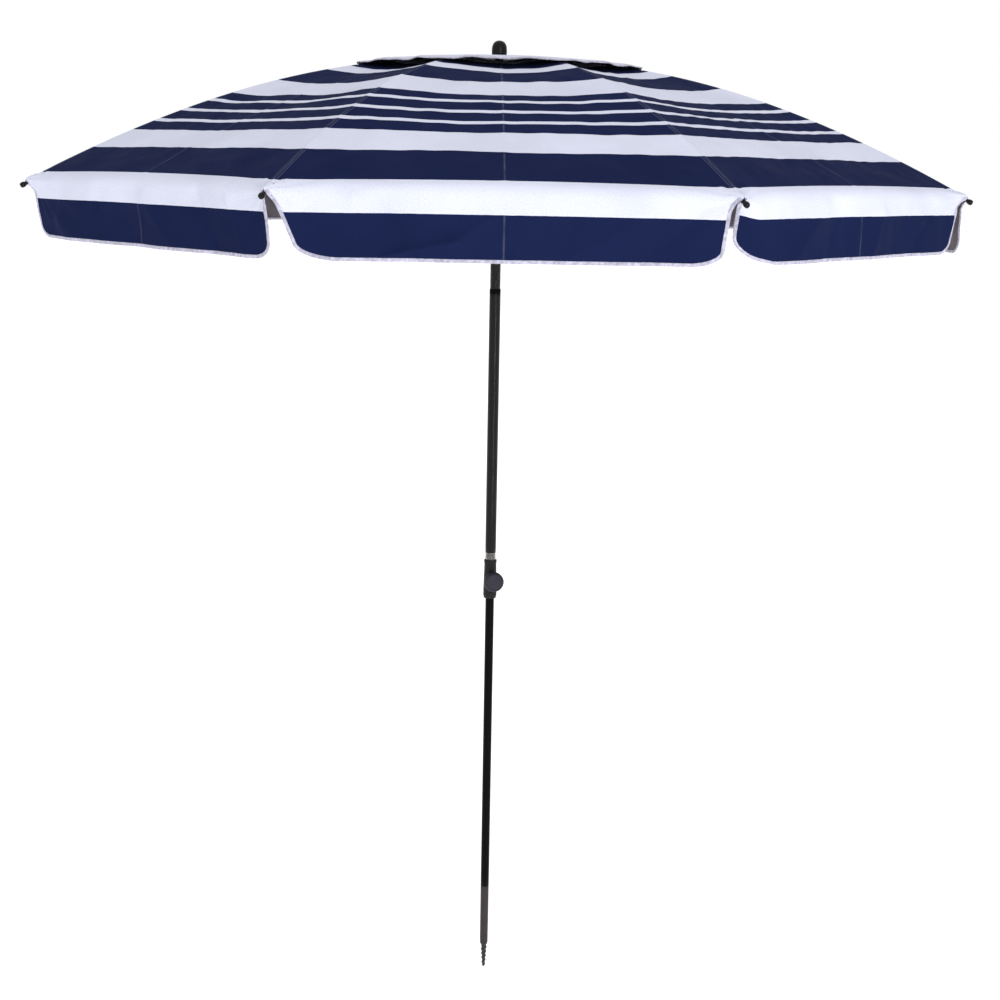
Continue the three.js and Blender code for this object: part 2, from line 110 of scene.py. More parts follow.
# the stage
FLOOR_HALF, FLOOR_GAP, FLOOR_WHITE = 60.0, 0.0005, (0.86, 0.86, 0.86)
STRIP_LENGTH = 2.2


# ---- small sums ----
def smooth(x):
    """0 below 0, 1 above 1, and 3x^2 - 2x^3 between."""
    x = np.clip(x, 0, 1)
    return x * x * (3 - 2 * x)


def dome_z(r):
    """Height of a rib: the crown less a square and plus a fifth power of how far out it is, where out is
    the share of the tip's radius less DOME_FLAT."""
    out = r / TIP_R - DOME_FLAT
    return CROWN_Z - DOME_FALL * out**2 + DOME_EASE * out**5


def dome_slope(r):
    """Downward slope of a rib, the derivative of its height."""
    out = r / TIP_R - DOME_FLAT
    return (2 * DOME_FALL * out - 5 * DOME_EASE * out**4) / TIP_R


def panel_sag(r):
    """How far a panel's middle hangs under the ribs: a sine of the radius."""
    return PANEL_SAG * np.sin(math.pi * r / (SAG_END * TIP_R))


def rib_angle(k):
    """Angle of rib k about the axis: half a step past the middle of panel k."""
    return -math.pi / 2 + (k - 0.5) * STEP


def panel_angle(k):
    """Angle of panel k's middle about the axis: panel 1 faces the front."""
    return -math.pi / 2 + (k - 1) * STEP


def turned(points, angle):
    """Points turned about the vertical axis."""
    c, s = math.cos(angle), math.sin(angle)
    return points @ np.array([[c, s, 0], [-s, c, 0], [0, 0, 1.0]])


def unit(v):
    """Vectors divided by their lengths."""
    return v / np.maximum(np.linalg.norm(v, axis=-1, keepdims=True), 1e-12)


def ripple(a, b, seed, wave, count=9):
    """Sum of plane sine waves in seeded directions, near one wavelength, of height about 1."""
    rng = np.random.default_rng(seed)
    total = np.zeros(np.broadcast(a, b).shape)
    for _ in range(count):
        turn, phase = rng.uniform(0, 2 * math.pi, 2)
        k = 2 * math.pi / (wave * rng.uniform(0.7, 1.5))
        total += np.sin(k * (math.cos(turn) * a + math.sin(turn) * b) + phase)
    return total / math.sqrt(count)


def grid_normals(points, toward):
    """Unit normals of a grid of points: the cross product of its two directions."""
    n = unit(np.cross(np.gradient(points, axis=0), np.gradient(points, axis=1)))
    flip = np.sign(np.sum(n * toward, axis=-1, keepdims=True))
    return n * np.where(flip == 0, 1, flip)


# ---- meshes ----
def make_object(name, points, faces, materials, face_slots=None, uv=None, sharp=50):
    """One mesh object at the origin, from a point array and a quad array."""
    mesh = bpy.data.meshes.new(name)
    faces = faces if isinstance(faces, list) else faces.tolist()
    mesh.from_pydata(points.reshape(-1, 3).tolist(), [], faces)
    mesh.update()
    for m in materials:
        mesh.materials.append(m)
    if face_slots is not None:
        mesh.polygons.foreach_set("material_index", np.asarray(face_slots, np.int32))
    if uv is not None:
        corner = np.zeros(len(mesh.loops), np.int32)
        mesh.loops.foreach_get("vertex_index", corner)
        layer = mesh.uv_layers.new(name="cloth")
        layer.data.foreach_set("uv", uv.reshape(-1, 2)[corner].astype(np.float32).ravel())
    mesh.polygons.foreach_set("use_smooth", np.ones(len(mesh.polygons), bool))
    mesh.set_sharp_from_angle(angle=math.radians(sharp))
    piece = bpy.data.objects.new(name, mesh)
    bpy.context.scene.collection.objects.link(piece)
    return piece


def quads(rows, cols, closed=False):
    """Corner numbers of every cell of a grid; closed joins its last column to its first."""
    index = np.arange(rows * cols).reshape(rows, cols)
    if closed:
        index = np.concatenate([index, index[:, :1]], axis=1)
    a, b, c, d = index[:-1, :-1], index[:-1, 1:], index[1:, 1:], index[1:, :-1]
    return np.stack([a, d, c, b], -1).reshape(-1, 4)


def sheet_piece(name, outer, normals, thick, uv, outside, lining):
    """A grid of points and the same grid moved in along its normals, joined all round its edge."""
    rows, cols = outer.shape[:2]
    n = rows * cols
    points = np.concatenate([outer.reshape(-1, 3), (outer - normals * thick).reshape(-1, 3)])
    top = quads(rows, cols)
    index = np.arange(n).reshape(rows, cols)

    def wall(edge):
        p, q = edge[:-1], edge[1:]
        return np.stack([p, p + n, q + n, q], -1)

    edges = (index[-1], index[0][::-1], index[:, -1][::-1], index[:, 0])
    rim = np.concatenate([wall(edge) for edge in edges])
    faces = np.concatenate([top, top[:, ::-1] + n, rim])
    slots = np.concatenate([np.zeros(len(top)), np.ones(len(top)), np.zeros(len(rim))])
    return make_object(name, points, faces, [outside, lining], slots, np.concatenate([uv, uv]))


def carried(name, loops, materials):
    """A closed profile carried along a path: loops is path x profile points, and each end is a fan."""
    rows, cols = loops.shape[:2]
    ends = np.stack([loops[0].mean(0), loops[-1].mean(0)])
    points = np.concatenate([loops.reshape(-1, 3), ends])
    here = np.arange(cols)
    after = np.roll(here, -1)
    below = (rows - 1) * cols
    first = np.stack([np.full(cols, rows * cols), here, after], -1)
    last = np.stack([np.full(cols, rows * cols + 1), after + below, here + below], -1)
    fans = np.stack([first, last], 1).reshape(-1, 3)
    piece = make_object(name, points, quads(rows, cols, closed=True).tolist() + fans.tolist(), materials)
    outward(piece)
    return piece


def outward(piece):
    """Turns the faces outwards: the signed volume of a closed mesh is positive."""
    mesh = piece.data
    mesh.calc_loop_triangles()
    co = np.empty(3 * len(mesh.vertices), np.float32)
    tri = np.empty(3 * len(mesh.loop_triangles), np.int32)
    mesh.vertices.foreach_get("co", co)
    mesh.loop_triangles.foreach_get("vertices", tri)
    co, tri = co.reshape(-1, 3).astype(float), tri.reshape(-1, 3)
    volume = np.einsum("ij,ij->i", co[tri[:, 0]], np.cross(co[tri[:, 1]], co[tri[:, 2]])).sum()
    if volume < 0:
        mesh.flip_normals()


def lathe_points(profile, sides, shape=None):
    """Radius and height pairs turned about the vertical axis; shape may change the radius."""
    profile = np.asarray(profile, float)
    angle = np.linspace(0, 2 * math.pi, sides, endpoint=False)
    r = np.repeat(profile[:, :1], sides, axis=1)
    z = np.repeat(profile[:, 1:2], sides, axis=1)
    a = np.repeat(angle[None], len(profile), axis=0)
    if shape is not None:
        r = shape(r, a, z)
    return np.stack([r * np.cos(a), r * np.sin(a), z], -1)


def lathe(name, profile, materials, sides=64, shape=None, place=None, closed_ends=True):
    """A turned piece, from axis to axis or, with closed_ends off, a ring closed on its own profile."""
    points = lathe_points(profile, sides, shape)
    if place is not None:
        points = place(points)
    if closed_ends:
        return carried(name, points, materials)
    index = np.arange(len(points) * sides).reshape(len(points), sides)
    index = np.pad(index, ((0, 1), (0, 1)), mode="wrap")
    a, b, c, d = index[:-1, :-1], index[:-1, 1:], index[1:, 1:], index[1:, :-1]
    piece = make_object(name, points, np.stack([a, d, c, b], -1).reshape(-1, 4), materials)
    outward(piece)
    return piece


def rounded(profile, radius=0.0008, steps=3):
    """A profile with each inner corner replaced by a short arc between points cut back along its sides."""
    p = np.asarray(profile, float)
    out = [p[0]]
    for before, here, after in zip(p[:-2], p[1:-1], p[2:]):
        u, v = before - here, after - here
        lu, lv = np.linalg.norm(u), np.linalg.norm(v)
        if min(lu, lv) < 1e-9:
            continue
        cut = min(radius, 0.45 * lu, 0.45 * lv)
        a, b = here + u / lu * cut, here + v / lv * cut
        t = np.linspace(0, 1, steps + 1)[:, None]
        out.extend((1 - t) ** 2 * a + 2 * t * (1 - t) * here + t**2 * b)
    out.append(p[-1])
    return np.array(out)


# ---- materials ----
class Nodes:
    """A node tree that is filled by short calls."""

    def __init__(self, tree):
        self.tree = tree

    @staticmethod
    def set(node, values):
        for key, value in values.items():
            node.inputs[key].default_value = value

    def node(self, kind, values=None, **settings):
        node = self.tree.nodes.new("ShaderNode" + kind)
        for key, value in settings.items():
            setattr(node, key, value)
        self.set(node, values or {})
        return node

    def link(self, source, target):
        self.tree.links.new(source, target)

    def sum(self, operation, a, b=0.5, c=None):
        node = self.node("Math", operation=operation)
        for i, x in enumerate((a, b) if c is None else (a, b, c)):
            if isinstance(x, bpy.types.NodeSocket):
                self.link(x, node.inputs[i])
            else:
                node.inputs[i].default_value = x
        return node.outputs[0]

    def range(self, value, low, high, from_low=0.0, from_high=1.0):
        node = self.node("MapRange", {1: from_low, 2: from_high, 3: low, 4: high})
        self.link(value, node.inputs[0])
        return node.outputs[0]


class Finish(Nodes):
    """A material with its nodes made by short calls."""

    def __init__(self, name, color=(0.5, 0.5, 0.5), rough=0.5, metal=0.0):
        self.material = bpy.data.materials.new(name)
        self.material.use_nodes = True
        super().__init__(self.material.node_tree)
        self.shader = self.tree.nodes["Principled BSDF"]
        self.set(self.shader, {"Base Color": (*color, 1), "Roughness": rough, "Metallic": metal})

    def object_point(self, scale=(1, 1, 1)):
        point = self.node("TexCoord").outputs["Object"]
        if scale == (1, 1, 1):
            return point
        place = self.node("Mapping", {"Scale": scale})
        self.link(point, place.inputs["Vector"])
        return place.outputs["Vector"]

    def noise(self, point, scale, detail=3.0, rough=0.5):
        node = self.node("TexNoise", {"Scale": scale, "Detail": detail, "Roughness": rough})
        self.link(point, node.inputs["Vector"])
        return node.outputs["Fac"]

    def mix(self, share, a, b, blend="MIX"):
        node = self.node("Mix", data_type="RGBA", blend_type=blend)
        for i, x in ((0, share), (6, a), (7, b)):
            if isinstance(x, bpy.types.NodeSocket):
                self.link(x, node.inputs[i])
            else:
                node.inputs[i].default_value = x if i == 0 else (*x, 1)
        return node.outputs[2]

    def bump(self, height, strength, distance):
        node = self.node("Bump", {"Strength": strength, "Distance": distance})
        self.link(height, node.inputs["Height"])
        previous = self.shader.inputs["Normal"].links
        if previous:
            self.link(previous[0].from_socket, node.inputs["Normal"])
        self.link(node.outputs["Normal"], self.shader.inputs["Normal"])

    def color(self, socket):
        self.link(socket, self.shader.inputs["Base Color"])

    def roughness(self, socket):
        self.link(socket, self.shader.inputs["Roughness"])


def cloth_point(f):
    """The cloth's own coordinates: across the panel, and out along it, both in metres."""
    uv = f.node("UVMap", uv_map="cloth").outputs["UV"]
    parts = f.node("SeparateXYZ")
    f.link(uv, parts.inputs[0])
    return uv, parts.outputs[0], parts.outputs[1]


def weave(f, across, along, strength, distance):
    """Plain weave: the product of two sines, one for each direction of thread."""
    k = 2 * math.pi / WEAVE_PITCH
    a = f.sum("SINE", f.sum("MULTIPLY", across, k))
    b = f.sum("SINE", f.sum("MULTIPLY", along, k))
    f.bump(f.sum("MULTIPLY", a, b), strength, distance)


def mottled(f, color, point, fine=900.0, fine_share=0.10, broad=9.0, broad_share=0.10):
    """The colour made a little lighter and darker by a fine and a broad noise."""
    shade = f.sum(
        "MULTIPLY",
        f.range(f.noise(point, fine, 2.0), 1 - fine_share, 1 + fine_share, 0.3, 0.7),
        f.range(f.noise(point, broad, 3.0), 1 - broad_share, 1 + broad_share, 0.3, 0.7),
    )
    grey = f.node("CombineXYZ")
    for i in range(3):
        f.link(shade, grey.inputs[i])
    return f.mix(1.0, color, grey.outputs[0], "MULTIPLY")


def seam_distance(f, across, along):
    """Distance across a gore to the sewn seam over its rib."""
    return f.sum("SUBTRACT", f.sum("MULTIPLY", along, SIN), f.sum("ABSOLUTE", across))


def panel_seam(f, across, along):
    """The same on a panel, where the seam ends at the rim: past it the distance is at least 1."""
    return f.sum("MAXIMUM", seam_distance(f, across, along), f.sum("GREATER_THAN", along, RIM_R))


def dashes(f, distance, along, offset):
    """1 on a row of stitches at one distance from a line, 0 elsewhere."""
    near = f.sum("LESS_THAN", f.sum("ABSOLUTE", f.sum("SUBTRACT", distance, offset)), STITCH_WIDTH / 2)
    beat = f.sum("LESS_THAN", f.sum("FRACT", f.sum("MULTIPLY", along, 1 / STITCH_PITCH)), STITCH_SHARE)
    return f.sum("MULTIPLY", near, beat)


def striped_cloth(p):
    """Printed canopy cloth: constant bands of the distance out, a painted highlight along the seams and the middle
    crease, stitches and weave.
    """
    f = Finish("striped_canopy_cloth", rough=0.62)
    uv, across, along = cloth_point(f)
    wander = f.range(f.noise(uv, 60.0, 1.0), -0.00015, 0.00015, 0.3, 0.7)
    ramp = f.node("ValToRGB")
    ramp.color_ramp.interpolation = "CONSTANT"
    colors = {"navy": (*p.navy, 1), "white": (*p.white, 1)}
    stops = ramp.color_ramp.elements
    stops[0].position, stops[0].color = 0.0, colors["navy"]
    stops[1].position, stops[1].color = BANDS[0][0] / BAND_SPAN, colors[BANDS[0][1]]
    for place, name in BANDS[1:]:
        stop = stops.new(place / BAND_SPAN)
        stop.color = colors[name]
    f.link(f.sum("MULTIPLY", f.sum("ADD", along, wander), 1 / BAND_SPAN), ramp.inputs[0])
    cloth = mottled(f, ramp.outputs[0], uv, 420.0, 0.07, 7.0, 0.05)
    seam = panel_seam(f, across, along)
    crease = f.sum("ABSOLUTE", across)
    # painted highlight: the cloth is mixed toward white in patches along the raised seams and down the pressed
    # middle crease
    at_seam = f.range(seam, 0.09, 0.0, 0.0, 0.003)
    wear_and_highlight = f.sum("MAXIMUM", at_seam, f.range(crease, 0.10, 0.0, 0.0, 0.0022))
    wear_and_highlight = f.sum("MULTIPLY", wear_and_highlight, f.range(f.noise(uv, 40.0, 3.0), 0.35, 1.0, 0.35, 0.65))
    cloth = f.mix(wear_and_highlight, cloth, p.white)
    stitch = dashes(f, seam, along, 0.0045)
    cloth = f.mix(f.sum("MULTIPLY", stitch, 0.22), cloth, p.thread)
    f.color(cloth)
    f.roughness(f.range(f.noise(uv, 15.0, 2.0), 0.54, 0.68, 0.3, 0.7))
    f.set(f.shader, {"Sheen Weight": 0.004, "Sheen Roughness": 0.4, "Specular IOR Level": 0.008})
    weave(f, across, along, 0.25, 0.00006)
    f.bump(f.noise(uv, 38.0, 3.0), 0.18, 0.0012)
    f.bump(stitch, 0.5, 0.0004)
    return f.material


def lining_cloth(p):
    """Coated inner face of the canopy: grey-brown with a faint weave."""
    f = Finish("grey_lining", rough=0.55)
    uv, across, along = cloth_point(f)
    cloth = mottled(f, p.lining, uv, 500.0, 0.07, 6.0, 0.10)
    seam = panel_seam(f, across, along)
    fold = f.range(seam, 0.35, 0.0, 0.0085, 0.0095)
    cloth = f.mix(fold, cloth, [0.55 * c for c in p.lining])
    stitch = dashes(f, seam, along, 0.0068)
    cloth = f.mix(f.sum("MULTIPLY", stitch, 0.6), cloth, p.thread)
    f.color(cloth)
    f.roughness(f.range(f.noise(uv, 12.0, 2.0), 0.46, 0.62, 0.3, 0.7))
    f.set(f.shader, {"Sheen Weight": 0.03, "Specular IOR Level": 0.25})
    weave(f, across, along, 0.22, 0.00005)
    f.bump(f.noise(uv, 30.0, 3.0), 0.2, 0.0012)
    f.bump(fold, 0.5, 0.0004)
    return f.material


def tape(name, color):
    """Binding tape: coarse colour change and small puckers."""
    f = Finish(name, color, 0.6)
    point = f.object_point()
    cloth = mottled(f, color, point, 170.0, 0.26, 30.0, 0.12)
    f.color(cloth)
    f.roughness(f.range(f.noise(point, 60.0, 2.0), 0.5, 0.7, 0.3, 0.7))
    f.set(f.shader, {"Sheen Weight": 0.15, "Specular IOR Level": 0.4})
    f.bump(f.noise(point, 240.0, 2.0), 0.8, 0.0009)
    f.bump(f.noise(point, 900.0, 1.0), 0.3, 0.0002)
    return f.material


def painted(name, color, rough, grain=0.1, texture=0.0, specular=0.5):
    """Painted tube: long drawn streaks, fine orange-peel bump, dull scuffs where it slides."""
    f = Finish(name, color, rough)
    point = f.object_point()
    drawn = f.object_point((1, 1, 0.03))
    streak = f.noise(drawn, 300.0, 3.0)
    scuff = f.range(f.noise(point, 14.0, 6.0, 0.65), 0.0, 1.0, 0.60, 0.72)
    f.color(mottled(f, color, drawn, 400.0, 0.12, 20.0, 0.15))
    dull = f.range(streak, rough - 0.05, rough + 0.07, 0.3, 0.7)
    f.roughness(f.sum("ADD", dull, f.sum("MULTIPLY", scuff, 0.12)))
    f.set(f.shader, {"Specular IOR Level": specular})
    f.bump(streak, grain, 0.0003)
    if texture:
        wrinkle = f.object_point((1, 1, 0.28))
        f.bump(f.noise(wrinkle, 260.0, 5.0, 0.7), texture, 0.0022)
    return f.material


def moulded(name, color, rough=0.5, grain=0.25, scale=900.0, specular=0.45):
    """Moulded plastic: spark-eroded grain, colour a little lighter and darker in patches, and varied roughness."""
    f = Finish(name, color, rough)
    point = f.object_point()
    grained = f.noise(point, scale, 3.0, 0.6)
    f.color(mottled(f, color, point, 500.0, 0.10, 24.0, 0.16))
    f.roughness(f.range(f.noise(point, 70.0, 4.0), rough - 0.08, rough + 0.1, 0.3, 0.7))
    f.set(f.shader, {"Specular IOR Level": specular})
    f.bump(grained, grain, 0.0003)
    return f.material


def drawn_steel(name, color, rough=0.38, metal=0.6):
    """Dark wire and rods: fine mottling and bump, with small worn spots of brighter metal."""
    f = Finish(name, color, rough, metal)
    point = f.object_point()
    wear_and_highlight = f.range(f.noise(point, 110.0, 5.0, 0.7), 0.0, 0.35, 0.62, 0.72)
    base = mottled(f, color, point, 350.0, 0.15, 20.0, 0.15)
    f.color(f.mix(wear_and_highlight, base, (0.22, 0.21, 0.20)))
    f.roughness(f.range(f.noise(point, 90.0, 3.0), rough - 0.1, rough + 0.15, 0.3, 0.7))
    f.bump(f.noise(point, 700.0, 2.0), 0.15, 0.0002)
    return f.material


def clear_plastic(name, color):
    """Cloudy natural plastic that lets some light through."""
    f = Finish(name, color, 0.35)
    point = f.object_point()
    f.color(mottled(f, color, point, 300.0, 0.08, 40.0, 0.12))
    f.roughness(f.range(f.noise(point, 80.0, 3.0), 0.12, 0.24, 0.3, 0.7))
    f.set(f.shader, {"Transmission Weight": 0.92, "IOR": 1.45, "Specular IOR Level": 0.5})
    f.bump(f.noise(point, 500.0, 2.0), 0.12, 0.0003)
    return f.material


MADE = {}


def finishes():
    """Every material, made once and found again by name."""
    p = bpy.context.scene.beach_umbrella
    if not MADE:
        MADE.update(
            cloth=striped_cloth(p),
            lining=lining_cloth(p),
            binding=tape("lavender_binding", tuple(p.binding)),
            cap=cap_cloth(p, "white_cap_cloth", tuple(p.white)),
            # painted shade: the cap's underside gets a near-black colour that stands in for the shadow under the cap
            cap_under=cap_cloth(p, "dark_cap_underside", tuple(p.cap_under)),
            gloss=painted("gloss_black_paint", tuple(p.pole), 0.10, grain=0.05, specular=0.16),
            satin=painted("satin_black_paint", tuple(p.lower_pole), 0.40, specular=0.05),
            wrinkle=painted("wrinkle_black_paint", tuple(p.pole), 0.16, texture=0.9, specular=0.2),
            black=moulded("black_plastic_grain", (0.004, 0.004, 0.0045), 0.22, 0.05, specular=0.16),
            collar=moulded("collar_plastic_grain", (0.012, 0.011, 0.012), 0.5, 0.3, specular=0.16),
            knob=moulded("knob_plastic_grain", (0.030, 0.029, 0.040), 0.55, 0.35, specular=0.16),
            spike=moulded("spike_plastic_grain", (0.034, 0.029, 0.034), 0.5, 0.3, specular=0.2),
            steel=drawn_steel("dark_rod_steel", (0.035, 0.033, 0.034)),
            bright=drawn_steel("zinc_plated_steel", (0.45, 0.45, 0.46), 0.3, 0.95),
            clear=clear_plastic("natural_plastic", (0.72, 0.70, 0.67)),
        )
    return MADE


def cap_cloth(p, name, color):
    """Plain cloth of the vent cap: weave, stitches along the seams, soft colour change."""
    f = Finish(name, color, 0.62)
    uv, across, along = cloth_point(f)
    cloth = mottled(f, color, uv, 420.0, 0.07, 9.0, 0.06)
    seam = seam_distance(f, across, along)
    stitch = dashes(f, seam, along, 0.0045)
    cloth = f.mix(f.sum("MULTIPLY", stitch, 0.6), cloth, p.thread)
    f.color(cloth)
    f.roughness(f.range(f.noise(uv, 20.0, 2.0), 0.55, 0.7, 0.3, 0.7))
    f.set(f.shader, {"Sheen Weight": 0.01, "Specular IOR Level": 0.08})
    weave(f, across, along, 0.25, 0.00006)
    f.bump(f.noise(uv, 40.0, 3.0), 0.2, 0.0012)
    return f.material


# ---- cloth shapes, in the frame of a panel: x out along its middle, y across ----
def corner_pull(y, v, seed):
    """Gathers that run out of the rib tips: a sine of the angle round the tip, dying away with distance."""
    total = np.zeros(np.broadcast(y, v).shape)
    for side in (-1, 1):
        rng = np.random.default_rng(seed * 2 + (side > 0))
        dy, dv = RIM_HALF + 0.004 - side * y, 0.936 - v
        far = np.hypot(dy, dv)
        turn = np.arctan2(dv, dy)
        lines = rng.integers(7, 10)
        wave = np.sin(lines * turn + rng.uniform(0, 6))
        wave = wave + 0.6 * np.sin(2.3 * lines * turn + rng.uniform(0, 6))
        held = 1 - np.exp(-((dy / 0.007) ** 2))
        total += 0.0019 * wave * held * np.exp(-far / 0.045) * smooth(far / 0.012)
    return total


def panel_sheet(k, rows=118, cols=97):
    """One canopy panel: straight between two ribs along y, less a sag that grows to its middle, with
    a raised seam, a pressed crease down the middle, gathers at the tips and slight seeded ripples."""
    t = np.linspace(-1, 1, cols)
    s = t + 0.10 * np.sin(math.pi * t)
    s = s[None, :]
    r = np.linspace(VENT_HOLE, RIM_R, rows)[:, None]
    half = r * SIN
    y = s * half
    base = dome_z(r) - panel_sag(r) * (1 - s * s)
    points = np.stack([np.broadcast_to(r * COS, y.shape), y, base], -1)
    normals = grid_normals(points, np.array([0, 0, 1.0]))
    seam = half - np.abs(y)
    lift = 0.0006 * np.exp(-((seam / 0.005) ** 2)) * smooth((RIM_R - r) / 0.03)
    lift = lift + 0.0005 * np.exp(-np.abs(y) / 0.003) * smooth((RIM_R + 0.05 - r) / 0.05)
    inside = smooth(seam / 0.05) * smooth((RIM_R - r) / 0.06) * smooth((r - VENT_HOLE) / 0.05)
    lift = lift + inside * (0.0009 * ripple(y, r, 11 + k, 0.16) + 0.0004 * ripple(y, r, 31 + k, 0.05))
    lift = lift + corner_pull(y, r, k) * smooth((r - 0.7) / 0.1)
    points = points + normals * lift[..., None]
    uv = np.stack([y, np.broadcast_to(r, y.shape)], -1)
    return points, grid_normals(points, np.array([0, 0, 1.0])), uv


# per valance flap: [top inset, hem inset, corner width, corner height] of its -y and +y edges
FLAP_EDGES = {
    1: ((0.004, 0.044, 0.060, 0.024), (0.009, 0.020, 0.050, 0.024)),
    2: ((0.004, 0.026, 0.052, 0.032), (0.010, 0.032, 0.030, 0.022)),
    3: ((-0.004, -0.012, 0.030, 0.030), (0.008, 0.020, 0.040, 0.024)),
    4: ((0.006, 0.014, 0.050, 0.030), (0.011, 0.030, 0.046, 0.020)),
    5: ((0.010, 0.028, 0.044, 0.022), (0.005, 0.010, 0.036, 0.026)),
    6: ((0.009, 0.024, 0.060, 0.026), (0.009, 0.026, 0.040, 0.020)),
    7: ((0.004, 0.008, 0.040, 0.030), (0.024, 0.052, 0.050, 0.022)),
    8: ((-0.003, -0.004, 0.036, 0.026), (0.002, -0.013, 0.044, 0.030)),
}
# per flap: creases as (y, q) to (y, q), height and width, with q the distance below the rim
FLAP_CREASES = {
    1: (
        ((-0.228, 0.030), (-0.222, 0.112), 0.0030, 0.020),
        ((-0.190, 0.034), (-0.140, 0.104), -0.0036, 0.022),
        ((-0.175, 0.108), (-0.072, 0.086), 0.0052, 0.010),
        ((-0.072, 0.086), (-0.030, 0.058), 0.0030, 0.012),
        ((-0.300, 0.050), (-0.250, 0.085), -0.0026, 0.018),
        ((0.100, 0.110), (0.205, 0.050), 0.0022, 0.022),
        ((0.215, 0.112), (0.290, 0.046), -0.0026, 0.022),
        ((0.010, 0.112), (0.060, 0.030), 0.0014, 0.020),
    ),
    2: (
        ((-0.190, 0.100), (-0.120, 0.030), 0.0026, 0.018),
        ((-0.100, 0.112), (-0.066, 0.040), -0.0026, 0.020),
        ((0.035, 0.112), (0.062, 0.044), 0.0030, 0.012),
        ((0.190, 0.110), (0.250, 0.030), -0.0022, 0.022),
        ((-0.020, 0.110), (-0.010, 0.060), 0.0018, 0.012),
    ),
    8: (
        ((-0.130, 0.060), (0.010, 0.090), -0.0030, 0.040),
        ((0.020, 0.040), (0.100, 0.110), 0.0026, 0.024),
        ((0.170, 0.030), (0.215, 0.108), -0.0030, 0.024),
        ((0.260, 0.040), (0.300, 0.105), 0.0026, 0.018),
    ),
}
# per flap whose end is turned in: its crease's y at the rim and at the hem, and degrees
FLAP_TURNED = {
    1: (-0.345, -0.325, 8),
    2: (-0.328, -0.250, 56),
    5: (-0.336, -0.275, 24),
    8: (-0.334, -0.236, 12),
}
FLAP_LENGTH = 0.1175
CREASE_GAIN = 2.3


def flap_creases(k):
    """The creases of flap k: the listed ones, or seven in a row, seeded, that lean and alternate."""
    if k in FLAP_CREASES:
        return FLAP_CREASES[k]
    rng = np.random.default_rng(70 + k)
    found = []
    for i in range(7):
        y = -0.29 + 0.095 * i + rng.uniform(-0.02, 0.02)
        lean = rng.uniform(-0.05, 0.05)
        sign = 1 if i % 2 else -1
        height, width = rng.uniform(0.0015, 0.0034), rng.uniform(0.012, 0.026)
        found.append(((y, 0.034), (y + lean, 0.110), sign * height, width))
    return found


def crease_lift(y, q, start, end, height, width):
    """A ridge along a line: highest on it, falling away on both sides and past its two ends."""
    a, b = np.array(start), np.array(end)
    d = b - a
    length = np.hypot(*d)
    along = ((y - a[0]) * d[0] + (q - a[1]) * d[1]) / length
    off = np.abs((y - a[0]) * d[1] - (q - a[1]) * d[0]) / length
    over = np.maximum(np.maximum(-along, along - length), 0)
    near = np.sqrt(off**2 + 0.0012**2)
    return CREASE_GAIN * height * np.exp(-near / width) * np.exp(-((over / 0.018) ** 2))


def flap_point(k, y, q):
    """A valance flap at y across and q below the rim. It leaves the rim at the panel's slope, turns on
    a radius until it hangs straight, and moves out along its own normal by gathers, creases and waves."""
    y, q = np.broadcast_arrays(np.asarray(y, float), np.asarray(q, float))
    s = np.clip(y / RIM_HALF, -1.05, 1.05)
    high = np.clip(1 - s * s, 0, 1)
    sag_slope = PANEL_SAG * math.pi / (SAG_END * TIP_R) * math.cos(math.pi * RIM_R / (SAG_END * TIP_R))
    slope = (dome_slope(RIM_R) + sag_slope * high) / COS
    start = np.arctan(slope)
    bend = RIM_BEND * (math.pi / 2 - start)
    angle = np.minimum(start + q / RIM_BEND, math.pi / 2)
    x = RIM_R * COS + RIM_BEND * (np.sin(angle) - np.sin(start))
    bulge = -panel_sag(RIM_R) * high * (1 - smooth(q / 0.07))
    z = dome_z(RIM_R) + bulge - RIM_BEND * (np.cos(start) - np.cos(angle)) - np.maximum(q - bend, 0)
    down = smooth((q - 0.012) / 0.05)
    out = corner_pull(y, RIM_R + q, k)
    out = out + 0.0005 * np.exp(-np.abs(y) / 0.003)
    out = out + down * 0.0030 * ripple(y, 0.6 * q, 51 + k, 0.17)
    out = out + down * 0.0009 * ripple(y, q, 91 + k, 0.05)
    out = out + smooth((q - 0.006) / 0.02) * sum(crease_lift(y, q, *c) for c in flap_creases(k))
    # the corners reach out to the rib tips
    tip = np.exp(-(((RIM_HALF - np.abs(y)) / 0.020) ** 2)) * np.exp(-(((q - 0.016) / 0.012) ** 2))
    x = x + out * np.sin(angle) + 0.0105 * tip
    z = z + out * np.cos(angle) + 0.0025 * tip
    yy = y + np.sign(y) * 0.0080 * tip
    if k in FLAP_TURNED:
        top, hem, degrees = FLAP_TURNED[k]
        a, b = np.array([top, 0.018]), np.array([hem, FLAP_LENGTH])
        d = unit(b - a)
        past = (y - a[0]) * d[1] - (q - a[1]) * d[0]
        past = 0.5 * (-past + np.sqrt(past**2 + 0.004**2)) * smooth((q - 0.012) / 0.02)
        turn = math.radians(degrees)
        x = x - past * math.sin(turn)
        yy = yy + past * (1 - math.cos(turn)) * d[1]
        z = z + past * (1 - math.cos(turn)) * d[0]
    return np.stack([x, yy, z], -1)


def flap_normal(k, y, q, e=0.0006):
    """Cross product of the flap's two directions, from points a little apart; q is kept on the flap."""
    q = np.maximum(q, 0)
    low = np.maximum(q - e, 0)
    ty = flap_point(k, y + e, q) - flap_point(k, y - e, q)
    tq = flap_point(k, y, low + 2 * e) - flap_point(k, y, low)
    return unit(np.cross(tq, ty))


